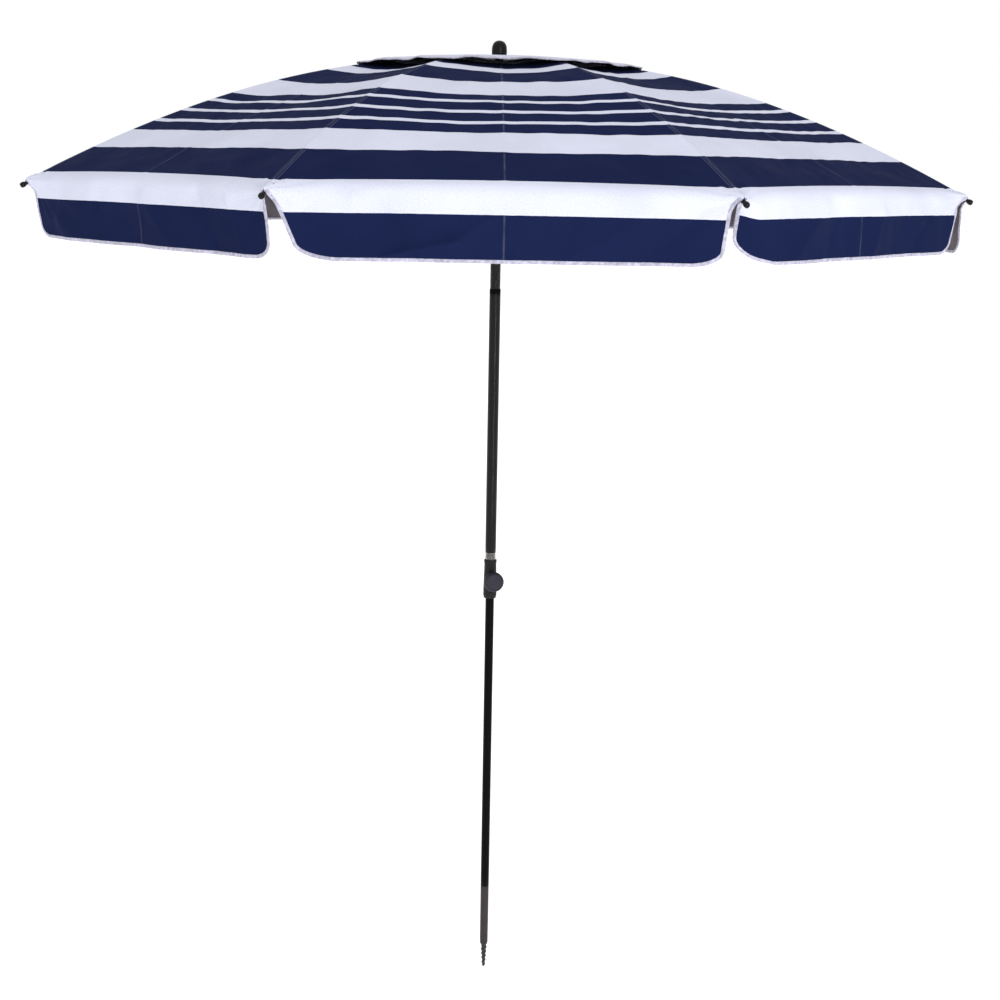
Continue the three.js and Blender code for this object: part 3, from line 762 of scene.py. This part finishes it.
def flap_half(k, side, q):
    """Distance from the flap's middle to its edge: the rim's half less an inset that grows down the slit
    and, near the hem, the run of a rounded corner, a quarter of an ellipse."""
    top, hem, wide, tall = FLAP_EDGES[k][side]
    widening = np.clip((q - 0.025) / (FLAP_LENGTH - 0.025), 0, 1)
    inset = top * smooth((q - 0.013) / 0.012) + (hem - top) * widening
    t = np.clip((q - (FLAP_LENGTH - tall)) / tall, 0, 1)
    return RIM_HALF - inset - wide * (1 - np.sqrt(np.maximum(1 - t**2.2, 0)))


def flap_sheet(k, rows=58, cols=193):
    """The flap's grid: rows from the rim to the hem, columns between its two edges."""
    w = np.linspace(0, 1, rows)
    q = (FLAP_LENGTH * np.sin(w * math.pi / 2))[:, None]
    u = np.linspace(-1, 1, cols)[None, :]
    u = u + 0.10 * np.sin(math.pi * u)
    half = np.where(u < 0, flap_half(k, 0, q), flap_half(k, 1, q))
    y = u * half
    q = np.broadcast_to(q, y.shape)
    points = flap_point(k, y, q)
    return points, flap_normal(k, y, q), np.stack([y, RIM_R + q], -1)


def flap_outline(k, step=0.0028):
    """Points every few millimetres down one slit edge, along the hem and up the other edge."""
    w = np.linspace(0, 1, 900)
    q = 0.017 + (FLAP_LENGTH - 0.017) * np.sin(w * math.pi / 2)
    left = np.stack([-flap_half(k, 0, q), q], -1)
    right = np.stack([flap_half(k, 1, q), q], -1)[::-1]
    path = np.concatenate([left, right])
    far = np.concatenate([[0], np.cumsum(np.hypot(*np.diff(path, axis=0).T))])
    at = np.linspace(0, far[-1], int(far[-1] / step))
    path = np.stack([np.interp(at, far, path[:, i]) for i in range(2)], -1)
    tangent = unit(np.gradient(path, axis=0))
    for _ in range(3):
        tangent = unit(tangent + np.roll(tangent, 1, 0) * 0.5 + np.roll(tangent, -1, 0) * 0.5)
    tangent[0], tangent[-1] = (0, 1), (0, -1)
    return path, np.stack([tangent[:, 1], -tangent[:, 0]], -1), at


def tape_loops(surface, normal, at, seed):
    """Binding tape round an edge: a flat loop that runs back over the cloth, round its edge and back under
    it. surface and normal give points at a distance in from the edge. Puckers lift it along its length."""
    pucker = 1 + 0.35 * np.sin(at / 0.0085 * 2 * math.pi + 2 * ripple(at, 0 * at, seed, 0.05))
    lift = TAPE_THICK * pucker[:, None]
    inset = [(1.0, 0.35), (0.93, 0.9), (0.6, 1.15), (0.25, 1.0), (0.02, 0.85), (-0.10, 0.3)]
    spots = [(share * TAPE_WIDTH, up) for share, up in inset]
    over = [surface(d) + normal(d) * lift * up for d, up in spots]
    under = [surface(d) - normal(d) * (lift * up + CAP_THICK) for d, up in spots[::-1]]
    return np.stack(over + under, 1)


def cap_point(s, r, k):
    """The vent cap: falls with the square of the radius, and its hem billows up between the seams
    and waves along its length."""
    out = r / CAP_R
    fall = CAP_TOP - dome_z(CAP_R) - CAP_CLEAR
    high = 1 - s**4
    rng = np.random.default_rng(400 + k)
    phase = rng.uniform(0, 2 * math.pi, 3)
    wave = np.sin(2.2 * math.pi * s + phase[0]) + 0.5 * np.sin(4.3 * math.pi * s + phase[1])
    z = CAP_TOP - fall * out**2 + CAP_BILLOW * out**3 * high + 0.0014 * out**5 * high * wave
    z = z - CAP_CURL * smooth((r - CAP_R + 0.012) / 0.014) * high
    z = z + 0.0006 * np.exp(-(((1 - np.abs(s)) * r * SIN / 0.005) ** 2))
    x = r * COS + 0.004 * out**6 * high * np.sin(3.4 * math.pi * s + phase[2])
    return np.stack(np.broadcast_arrays(x, s * r * SIN, z), -1)


def cap_normal(s, r, k, e=0.0008):
    """Cross product of the cap's two directions, from points a little apart."""
    ts = cap_point(s + e / 0.3, r, k) - cap_point(s - e / 0.3, r, k)
    tr = cap_point(s, r + e, k) - cap_point(s, r - e, k)
    return unit(np.cross(tr, ts))


# ---- operators ----
def put(piece, body, slot, *nodes):
    """The piece rides on a body and stands for the given nodes, which are hidden; slot is not used."""
    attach(piece, body)
    if nodes:
        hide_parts(*nodes)
    return piece


def fold_in(piece):
    """Gives the piece its own copy of its mesh."""
    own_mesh(piece)


def grid_area(points):
    """Area of a grid: half the cross product of two sides of each triangle, two to a cell."""
    a = points[1:, :-1] - points[:-1, :-1]
    b = points[:-1, 1:] - points[:-1, :-1]
    c = points[1:, 1:] - points[1:, :-1]
    d = points[1:, 1:] - points[:-1, 1:]
    return 0.5 * (np.linalg.norm(np.cross(a, b), axis=-1) + np.linalg.norm(np.cross(c, d), axis=-1)).sum()


class UMBRELLA_OT_stage(bpy.types.Operator):
    """Floor, soft studio light and camera"""

    bl_idname = "umbrella.stage"
    bl_label = "Stage"

    def execute(self, context):
        p = context.scene.beach_umbrella
        scene = context.scene
        scene.view_settings.view_transform = "Standard"
        world = bpy.data.worlds.new("studio_air")
        world.use_nodes = True
        air = world.node_tree.nodes["Background"]
        nodes = Nodes(world.node_tree)
        way = nodes.node("SeparateXYZ")
        nodes.link(nodes.node("TexCoord").outputs["Generated"], way.inputs[0])
        # the light fades from the front to the rear and grows overhead; what the camera sees is plain white
        fade = nodes.range(way.outputs[1], p.air, p.rear, -1.0, 1.0)
        above = nodes.range(way.outputs[2], 0.0, p.zenith)
        behind = nodes.node("Mix", {3: 1.0})
        nodes.link(nodes.node("LightPath").outputs["Is Camera Ray"], behind.inputs[0])
        nodes.link(nodes.sum("ADD", fade, above), behind.inputs[2])
        nodes.link(behind.outputs[0], air.inputs["Strength"])
        air.inputs["Color"].default_value = (1.0, 1.0, 1.0, 1)
        scene.world = world
        floor = Finish("pale_floor", FLOOR_WHITE, 0.9)
        floor.color(mottled(floor, FLOOR_WHITE, floor.object_point(), 40.0, 0.01, 0.5, 0.01))
        floor.set(floor.shader, {"Emission Color": (1, 1, 1, 1), "Emission Strength": p.floor_glow})
        corners = FLOOR_HALF * np.array([[-1, -1, 0], [1, -1, 0], [1, 1, 0], [-1, 1, 0]], float)
        corners[:, 2] = float(CAD_BOX[0][2]) - FLOOR_GAP
        ground = make_object("studio_floor", corners, [(0, 1, 2, 3)], [floor.material])
        lights = (
            ("key_light", (1.8, -5.0, 3.4), (0, 0, 1.8), 1.6, p.key),
            ("front_light", (-1.9, -5.2, 1.9), (0, 0, 1.8), 1.2, p.front),
            ("pole_light", (1.35, -3.35, 1.3), (0, 0, 1.3), 0.05, p.strip),
        )
        for name, place, aim, size, power in lights:
            data = bpy.data.lights.new(name, "AREA")
            data.shape = "RECTANGLE"
            data.size, data.size_y = size, (STRIP_LENGTH if name == "pole_light" else size)
            data.energy = power
            lamp = bpy.data.objects.new(name, data)
            lamp.location = place
            lamp.rotation_euler = (Vector(aim) - Vector(place)).to_track_quat("-Z", "Y").to_euler()
            scene.collection.objects.link(lamp)
        data = bpy.data.cameras.new("camera")
        data.sensor_width, data.lens = 36.0, p.lens
        data.clip_start, data.clip_end = 0.05, 200.0
        camera = bpy.data.objects.new("camera", data)
        orbit, yaw = math.radians(p.orbit), math.radians(p.yaw)
        place = Vector((math.sin(orbit) * p.distance, -math.cos(orbit) * p.distance, p.height))
        look = (
            Matrix.Rotation(orbit - yaw, 4, "Z")
            @ Matrix.Rotation(math.pi / 2 - math.radians(p.pitch), 4, "X")
            @ Matrix.Rotation(math.radians(p.roll), 4, "Z")
        )
        camera.matrix_world = Matrix.Translation(place) @ look
        scene.collection.objects.link(camera)
        scene.camera = camera
        return {"FINISHED"}


class UMBRELLA_OT_canopy(bpy.types.Operator):
    """Eight cloth panels between the ribs"""

    bl_idname = "umbrella.canopy"
    bl_label = "Canopy panels"

    def execute(self, context):
        m = finishes()
        for k in range(1, PANELS + 1):
            points, normals, uv = panel_sheet(k)
            area = grid_area(points)
            points, normals = turned(points, panel_angle(k)), turned(normals, panel_angle(k))
            thick = context.scene.beach_umbrella.cloth_thickness
            piece = sheet_piece(f"canopy_cloth_{k}", points, normals, thick, uv, m["cloth"], m["lining"])
            put(piece, f"panel_{k}", "canopy_cloth", f"canopy_panel_{k}")
            fold_in(piece)
        return {"FINISHED"}


class UMBRELLA_OT_valance(bpy.types.Operator):
    """Eight hanging flaps with their bound edges"""

    bl_idname = "umbrella.valance"
    bl_label = "Valance"

    def execute(self, context):
        m = finishes()
        thick = context.scene.beach_umbrella.cloth_thickness
        for k in range(1, PANELS + 1):
            points, normals, uv = flap_sheet(k)
            area = grid_area(np.dstack([uv, 0 * uv[..., 0]]))
            a = panel_angle(k)
            flap = sheet_piece(f"valance_flap_{k}", turned(points, a), turned(normals, a), thick, uv,
                               m["cloth"], m["lining"])
            put(flap, f"valance_{k}", "canopy_cloth", f"valance_{k}")
            path, inward, at = flap_outline(k)

            def surface(d):
                spot = path + inward * d
                return flap_point(k, spot[:, 0], spot[:, 1])

            def normal(d):
                spot = path + inward * d
                return flap_normal(k, spot[:, 0], spot[:, 1])

            loops = tape_loops(surface, normal, at, 200 + k)
            binding = carried(f"valance_binding_{k}", turned(loops, a), [m["binding"]])
            put(binding, f"valance_{k}", "canopy_cloth")
            fold_in(flap)
            fold_in(binding)
        return {"FINISHED"}


class UMBRELLA_OT_vent_cap(bpy.types.Operator):
    """Cap of cloth over the wind vent, with its bound, billowing hem"""

    bl_idname = "umbrella.vent_cap"
    bl_label = "Vent cap"

    def execute(self, context):
        m = finishes()
        for k in range(1, PANELS + 1):
            s = np.linspace(-1, 1, 65)[None, :]
            r = np.linspace(CAP_INNER, CAP_R, 42)[:, None]
            points = cap_point(s, r, k)
            normals = grid_normals(points, np.array([0, 0, 1.0]))
            area = grid_area(points)
            uv = np.stack(np.broadcast_arrays(s * r * SIN, r), -1)
            a = panel_angle(k)
            piece = sheet_piece(f"vent_cloth_{k}", turned(points, a), turned(normals, a), CAP_THICK, uv,
                                m["cap"], m["cap_under"])
            put(piece, f"panel_{k}", "cap_cloth", *(["vent_cap"] if k == 1 else []))
            edge = np.linspace(-1, 1, 90)
            at = (edge + 1) * CAP_R * SIN

            def surface(d):
                return cap_point(edge, CAP_R - d, k)

            def normal(d):
                n = cap_normal(edge, CAP_R - d, k)
                return n * np.sign(n[:, 2:3])

            loops = tape_loops(surface, normal, at, 300 + k)
            hem = carried(f"vent_binding_{k}", turned(loops, a), [m["binding"]])
            put(hem, f"panel_{k}", "cap_cloth")
            fold_in(piece)
            fold_in(hem)
        return {"FINISHED"}


class UMBRELLA_OT_rib_tips(bpy.types.Operator):
    """Ball-ended caps on the ribs"""

    bl_idname = "umbrella.rib_tips"
    bl_label = "Rib tips"

    def execute(self, context):
        m = finishes()
        slope = math.atan(dome_slope(TIP_CAP_START))
        start = np.array([TIP_CAP_START, 0, dome_z(TIP_CAP_START) - ROD_BELOW])
        profile = rounded([
            (0.0, 0.015), (0.0024, 0.015), (0.0024, 0.0), (0.0036, 0.0),
            (0.0042, 0.0130), (0.0041, 0.0180), (0.0034, 0.0215), (0.0035, 0.0225), (0.0045, 0.0240), (0.0050, 0.0270), (0.0050, 0.0290),
            (0.0042, 0.0316), (0.0022, 0.0327), (0.0, 0.0330),
        ], 0.0006)
        profile[0, 0] = profile[-1, 0] = 1e-5

        def lay_down(points, angle):
            """The turned piece's height becomes the way out along the rib, which slopes down."""
            out, side, up = points[..., 2], points[..., 1], points[..., 0]
            x = start[0] + out * math.cos(slope) + up * math.sin(slope)
            z = start[2] - out * math.sin(slope) + up * math.cos(slope)
            return turned(np.stack([x, side, z], -1), angle)

        for k in range(1, PANELS + 1):
            angle = rib_angle(k)
            tip = lathe(f"rib_tip_cap_{k}", profile, [m["black"]], 28, place=lambda q: lay_down(q, angle))
            put(tip, f"rib_{k}", "black_plastic", f"rib_tip_{k}")
        return {"FINISHED"}


class UMBRELLA_OT_crown(bpy.types.Operator):
    """Finial on the crown"""

    bl_idname = "umbrella.crown"
    bl_label = "Crown"

    def execute(self, context):
        m = finishes()
        low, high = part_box("finial")
        base, top = CAP_TOP + 0.0018, float(high.z)
        profile = rounded([
            (1e-5, low.z), (0.009, low.z), (0.009, base), (0.0146, base), (0.0156, base + 0.0015),
            (0.0156, base + 0.0040), (0.0151, base + 0.0046), (0.0151, base + 0.0052), (0.0156, base + 0.0058),
            (0.0156, base + 0.013), (0.0150, top - 0.0125), (0.0136, top - 0.0080), (0.0112, top - 0.0044),
            (0.0080, top - 0.0019), (0.0040, top - 0.0004), (1e-5, top),
        ], 0.0009)
        put(lathe("finial_cap", profile, [m["black"]], 64), "canopy_pole", "black_plastic", "finial")
        return {"FINISHED"}


def tube_profile(inner, outer, bottom, top, rows=40):
    """A ring's section with eased outer corners, as radius and height pairs."""
    middle = [(outer, z) for z in np.linspace(bottom + POLE_EASE, top - POLE_EASE, rows)]
    return [(inner, bottom), (outer - POLE_EASE, bottom), *middle, (outer - POLE_EASE, top), (inner, top)]


class UMBRELLA_OT_poles(bpy.types.Operator):
    """Canopy pole, upper pole, lower pole and guide bush"""

    bl_idname = "umbrella.poles"
    bl_label = "Poles"

    def execute(self, context):
        m = finishes()
        plan = (
            ("canopy_tube", "canopy_pole", "canopy_pole", "gloss", "pole_paint", UPPER_BORE),
            ("upper_tube", "upper_pole", "upper_pole", "gloss", "pole_paint", UPPER_BORE),
            ("lower_tube", "lower_pole", "lower_pole", "satin", "pole_paint", LOWER_BORE),
        )
        for name, node, body, finish, slot, inner in plan:
            low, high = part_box(node)
            profile = tube_profile(inner, float(high.x), low.z, high.z)
            piece = lathe(name, profile, [m[finish]], 72, closed_ends=False)
            put(piece, body, slot, node)
        low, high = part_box("guide_bush")
        shoulder = float(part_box("upper_pole")[0].z) - 0.0003
        profile = [
            (0.00995, low.z), (0.0112, low.z), (0.0118, low.z + 0.0008), (0.0118, low.z + 0.0062),
            (0.0114, low.z + 0.0068), (0.0114, low.z + 0.0078), (0.0118, low.z + 0.0084),
            (0.0118, shoulder), (0.0106, shoulder), (0.0106, high.z), (0.00995, high.z),
        ]
        bush = lathe("bush_ring", profile, [m["clear"]], 72, closed_ends=False)
        put(bush, "upper_pole", "clear_plastic", "guide_bush")
        return {"FINISHED"}


class UMBRELLA_OT_clamp(bpy.types.Operator):
    """Clamp collar with its flat face, and the round knob"""

    bl_idname = "umbrella.clamp"
    bl_label = "Clamp"

    def execute(self, context):
        m = finishes()
        low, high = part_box("clamp_collar")
        knob_z = float(sum(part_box("clamp_knob")[i].z for i in (0, 1)) / 2)
        face_angle = -math.pi / 2 + math.radians(13)
        bottom, top = float(low.z), float(high.z)

        def flattened(r, a, z):
            """A flat cut into the round: the radius is no more than the face's distance over the cosine."""
            turn = np.cos(a - face_angle)
            flat = np.where(turn > 0.3, 0.0130 / np.maximum(turn, 0.3), 1.0)
            near = np.abs(z - knob_z) < 0.031
            return np.where(near, np.minimum(r, np.maximum(flat, 0.0102)), r)

        heights = np.linspace(bottom + 0.007, top - 0.010, 44)
        waist = np.interp(heights, (bottom + 0.007, bottom + 0.02, top - 0.010), (0.0150, 0.0149, 0.0133))
        outer = rounded([(0.0136, bottom), (0.0150, bottom + 0.007)], 0.001).tolist()
        outer += np.stack([waist, heights], -1).tolist()
        outer += [(0.0142, top - 0.004), (0.0140, top - 0.0006), (0.0134, top)]
        profile = [(0.0100, bottom + 0.0004), (0.0130, bottom), *outer, (0.0100, top)]
        collar = lathe("collar_shell", profile, [m["collar"]], 96, flattened, closed_ends=False)
        put(collar, "upper_pole", "collar_plastic", "clamp_collar")

        def onto_axis(points):
            """The turned piece's height becomes the way out along the knob's axis."""
            laid = np.stack([points[..., 2], points[..., 1], -points[..., 0] + knob_z], -1)
            return turned(laid, face_angle)

        boss = lathe("collar_boss", rounded([
            (0.0041, 0.0112), (0.0105, 0.0112), (0.0100, 0.0135), (0.0095, 0.0150), (0.0095, 0.0209),
            (0.0090, 0.0215), (0.0041, 0.0215),
        ], 0.0008), [m["collar"]], 56, place=onto_axis, closed_ends=False)
        put(boss, "upper_pole", "collar_plastic")
        start, end, radius = 0.0225, 0.0430, 0.0223

        def grip(r, a, z):
            """Shallow flutes round the rim: the radius dips with the cosine of many turns."""
            rim = smooth((r - 0.0195) / 0.002)
            rim = rim * smooth((z - start - 0.006) / 0.003) * smooth((end - 0.003 - z) / 0.003)
            return r - 0.00035 * rim * (1 - np.cos(36 * a)) / 2

        body = rounded([
            (0.0038, 0.0303), (0.0038, start), (0.0090, start), (0.0100, start + 0.004),
            (radius - 0.002, start + 0.006), (radius, start + 0.008), (radius, start + 0.011),
            (radius, end - 0.0075), (radius - 0.0004, end - 0.004), (radius - 0.0022, end - 0.0012),
            (radius - 0.0040, end - 0.0001), (radius - 0.0052, end - 0.0001), (radius - 0.0060, end - 0.0014),
            (radius - 0.0085, end - 0.0016), (0.008, end - 0.0012), (1e-5, end - 0.0011),
        ], 0.0009)
        body = np.concatenate([[(1e-5, 0.0303)], body])
        knob = lathe("knob_grip", body, [m["knob"]], 144, grip, onto_axis)
        put(knob, "knob", "knob_plastic", "clamp_knob")
        return {"FINISHED"}


class UMBRELLA_OT_spike(bpy.types.Operator):
    """Ground spike with its screw point"""

    bl_idname = "umbrella.spike"
    bl_label = "Ground spike"

    def execute(self, context):
        m = finishes()
        low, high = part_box("ground_spike")
        bottom, top, point = float(low.z), float(high.z), 0.058
        pitch = 0.0112
        z = np.concatenate([
            np.linspace(bottom, bottom + 0.004, 10)[:-1], np.linspace(bottom + 0.004, bottom + point, 130),
            bottom + np.array([0.0595, 0.061, 0.063, 0.066, 0.070, 0.080, 0.120, 0.160, 0.200, 0.2112, 0.2119]),
            bottom + np.array([0.2120, 0.2125]), [top - 0.001, top],
        ])
        height = z - bottom
        # height above the point, and radius there
        tip = np.array([
            (0, 0.0004), (0.0008, 0.0020), (0.003, 0.0030), (0.010, 0.0031), (0.050, 0.0052), (0.058, 0.0062),
        ])
        stem = np.array([
            (0.058, 0.0062), (0.0595, 0.0074), (0.061, 0.0084), (0.063, 0.0089), (0.066, 0.0091), (0.070, 0.0092),
            (0.080, 0.0093), (0.200, 0.0095), (0.2112, 0.0095), (0.2119, 0.0092), (0.2120, 0.0081), (0.2125, 0.0081),
        ])
        core, shaft = np.interp(height, *tip.T), np.interp(height, *stem.T)
        radius = np.where(height <= point, core, shaft)
        radius[-1] = 0.0072

        def thread(r, a, zz):
            """The core and a rounded ridge that climbs one pitch a turn."""
            h = zz - bottom
            turn = np.mod(h / pitch - a / (2 * math.pi), 1.0)
            ridge = np.maximum(0, 1 - np.abs(turn - 0.5) / 0.36) ** 0.8
            fade = smooth(h / 0.006) * smooth((0.0545 - h) / 0.004)
            wide = np.interp(h, (0, 0.008, 0.050), (0.0004, 0.0016, 0.0021))
            return r + ridge * fade * wide

        spike = lathe("spike_screw", np.stack([radius, z], -1), [m["spike"]], 56, thread)
        put(spike, "lower_pole", "spike_plastic", "ground_spike")
        return {"FINISHED"}


class UMBRELLA_OT_frame_finish(bpy.types.Operator):
    """Finishes for the frame's own parts"""

    bl_idname = "umbrella.frame_finish"
    bl_label = "Frame finishes"

    def execute(self, context):
        m = finishes()
        plan = {
            "steel": [f"rib_{k}" for k in range(1, 9)] + [f"stretcher_{k}" for k in range(1, 9)],
            "bright": ["rib_wire", "runner_wire", "tilt_pin", "clamp_screw"],
            "black": ["top_notch", "runner", "finial"],
            "knob": ["runner_button", "tilt_button", "clamp_knob"],
            "wrinkle": ["tilt_fork", "tilt_tongue"],
            "gloss": ["canopy_pole", "upper_pole"],
            "satin": ["lower_pole"],
            "collar": ["clamp_collar"],
            "clear": ["guide_bush"],
            "spike": ["ground_spike"],
            "binding": ["crown_patch"],
        }
        for finish, names in plan.items():
            for name in names:
                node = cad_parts[name]
                node.data.materials.clear()
                node.data.materials.append(m[finish])
        return {"FINISHED"}


def tint(name, description, default):
    """A colour that a user may change."""
    return FloatVectorProperty(
        name=name, description=description, subtype="COLOR", default=default, min=0, max=1
    )


def number(name, description, default, unit="NONE"):
    """A number that a user may change."""
    return FloatProperty(name=name, description=description, default=default, unit=unit)


class UmbrellaProperties(bpy.types.PropertyGroup):
    """Sizes and colours that can be changed before building"""

    cloth_thickness: number("Cloth thickness", "Thickness of canopy cloth", 0.0008, unit="LENGTH")
    navy: tint("Navy", "Dark printed bands", (0.0088, 0.0142, 0.055))
    white: tint("White", "Light printed bands", (0.625, 0.645, 0.765))
    lining: tint("Lining", "Coated inner face", (0.100, 0.086, 0.100))
    binding: tint("Binding", "Tape on the edges", (0.43, 0.42, 0.53))
    thread: tint("Thread", "Stitches", (0.45, 0.46, 0.56))
    # near black: painted shade for the shadow under the vent cap
    cap_under: tint("Cap underside", "Inner face of the vent cap", (0.003, 0.003, 0.004))
    pole: tint("Upper pole", "Gloss paint", (0.006, 0.005, 0.006))
    lower_pole: tint("Lower pole", "Satin paint", (0.0028, 0.0022, 0.0026))
    floor_glow: number("Floor glow", "Light the pale floor gives off", 0.52)
    air: number("Air", "Strength of the surrounding light in front", 0.84)
    rear: number("Rear air", "Strength of the surrounding light behind", 0.52)
    zenith: number("Zenith", "Light added overhead", 0.36)
    key: number("Key light", "Power of the key light", 22.0)
    front: number("Front light", "Power of the low front light", 4.0)
    strip: number("Pole light", "Power of the narrow light", 26.0)
    lens: number("Lens", "Focal length in millimetres", 50.9)
    distance: number("Distance", "Camera to the pole's axis", 3.031, unit="LENGTH")
    height: number("Height", "Camera height", 1.8602, unit="LENGTH")
    pitch: number("Pitch", "Degrees the camera looks down", 13.30)
    roll: number("Roll", "Degrees the camera leans", 1.09)
    yaw: number("Yaw", "Degrees the camera looks past the axis", 0.355)
    orbit: number("Orbit", "Degrees the camera stands round from the front", -0.79)


OPERATORS = (
    UMBRELLA_OT_stage,
    UMBRELLA_OT_canopy,
    UMBRELLA_OT_valance,
    UMBRELLA_OT_vent_cap,
    UMBRELLA_OT_rib_tips,
    UMBRELLA_OT_crown,
    UMBRELLA_OT_poles,
    UMBRELLA_OT_clamp,
    UMBRELLA_OT_spike,
    UMBRELLA_OT_frame_finish,
)


class UMBRELLA_PT_panel(bpy.types.Panel):
    """Lists the pieces of the umbrella"""

    bl_label = "Beach umbrella"
    bl_idname = "UMBRELLA_PT_panel"
    bl_space_type = "VIEW_3D"
    bl_region_type = "UI"
    bl_category = "Umbrella"

    def draw(self, context):
        p = context.scene.beach_umbrella
        for name in p.bl_rna.properties.keys():
            if name not in ("rna_type", "name"):
                self.layout.prop(p, name)
        for operator in OPERATORS:
            self.layout.operator(operator.bl_idname)


CLASSES = (UmbrellaProperties, *OPERATORS, UMBRELLA_PT_panel)


def register():
    for c in CLASSES:
        bpy.utils.register_class(c)
    bpy.types.Scene.beach_umbrella = PointerProperty(type=UmbrellaProperties)


def unregister():
    del bpy.types.Scene.beach_umbrella
    for c in reversed(CLASSES):
        bpy.utils.unregister_class(c)


def main():
    register()
    for operator in OPERATORS:
        group, name = operator.bl_idname.split(".")
        getattr(getattr(bpy.ops, group), name)()


if __name__ == "__main__":
    main()
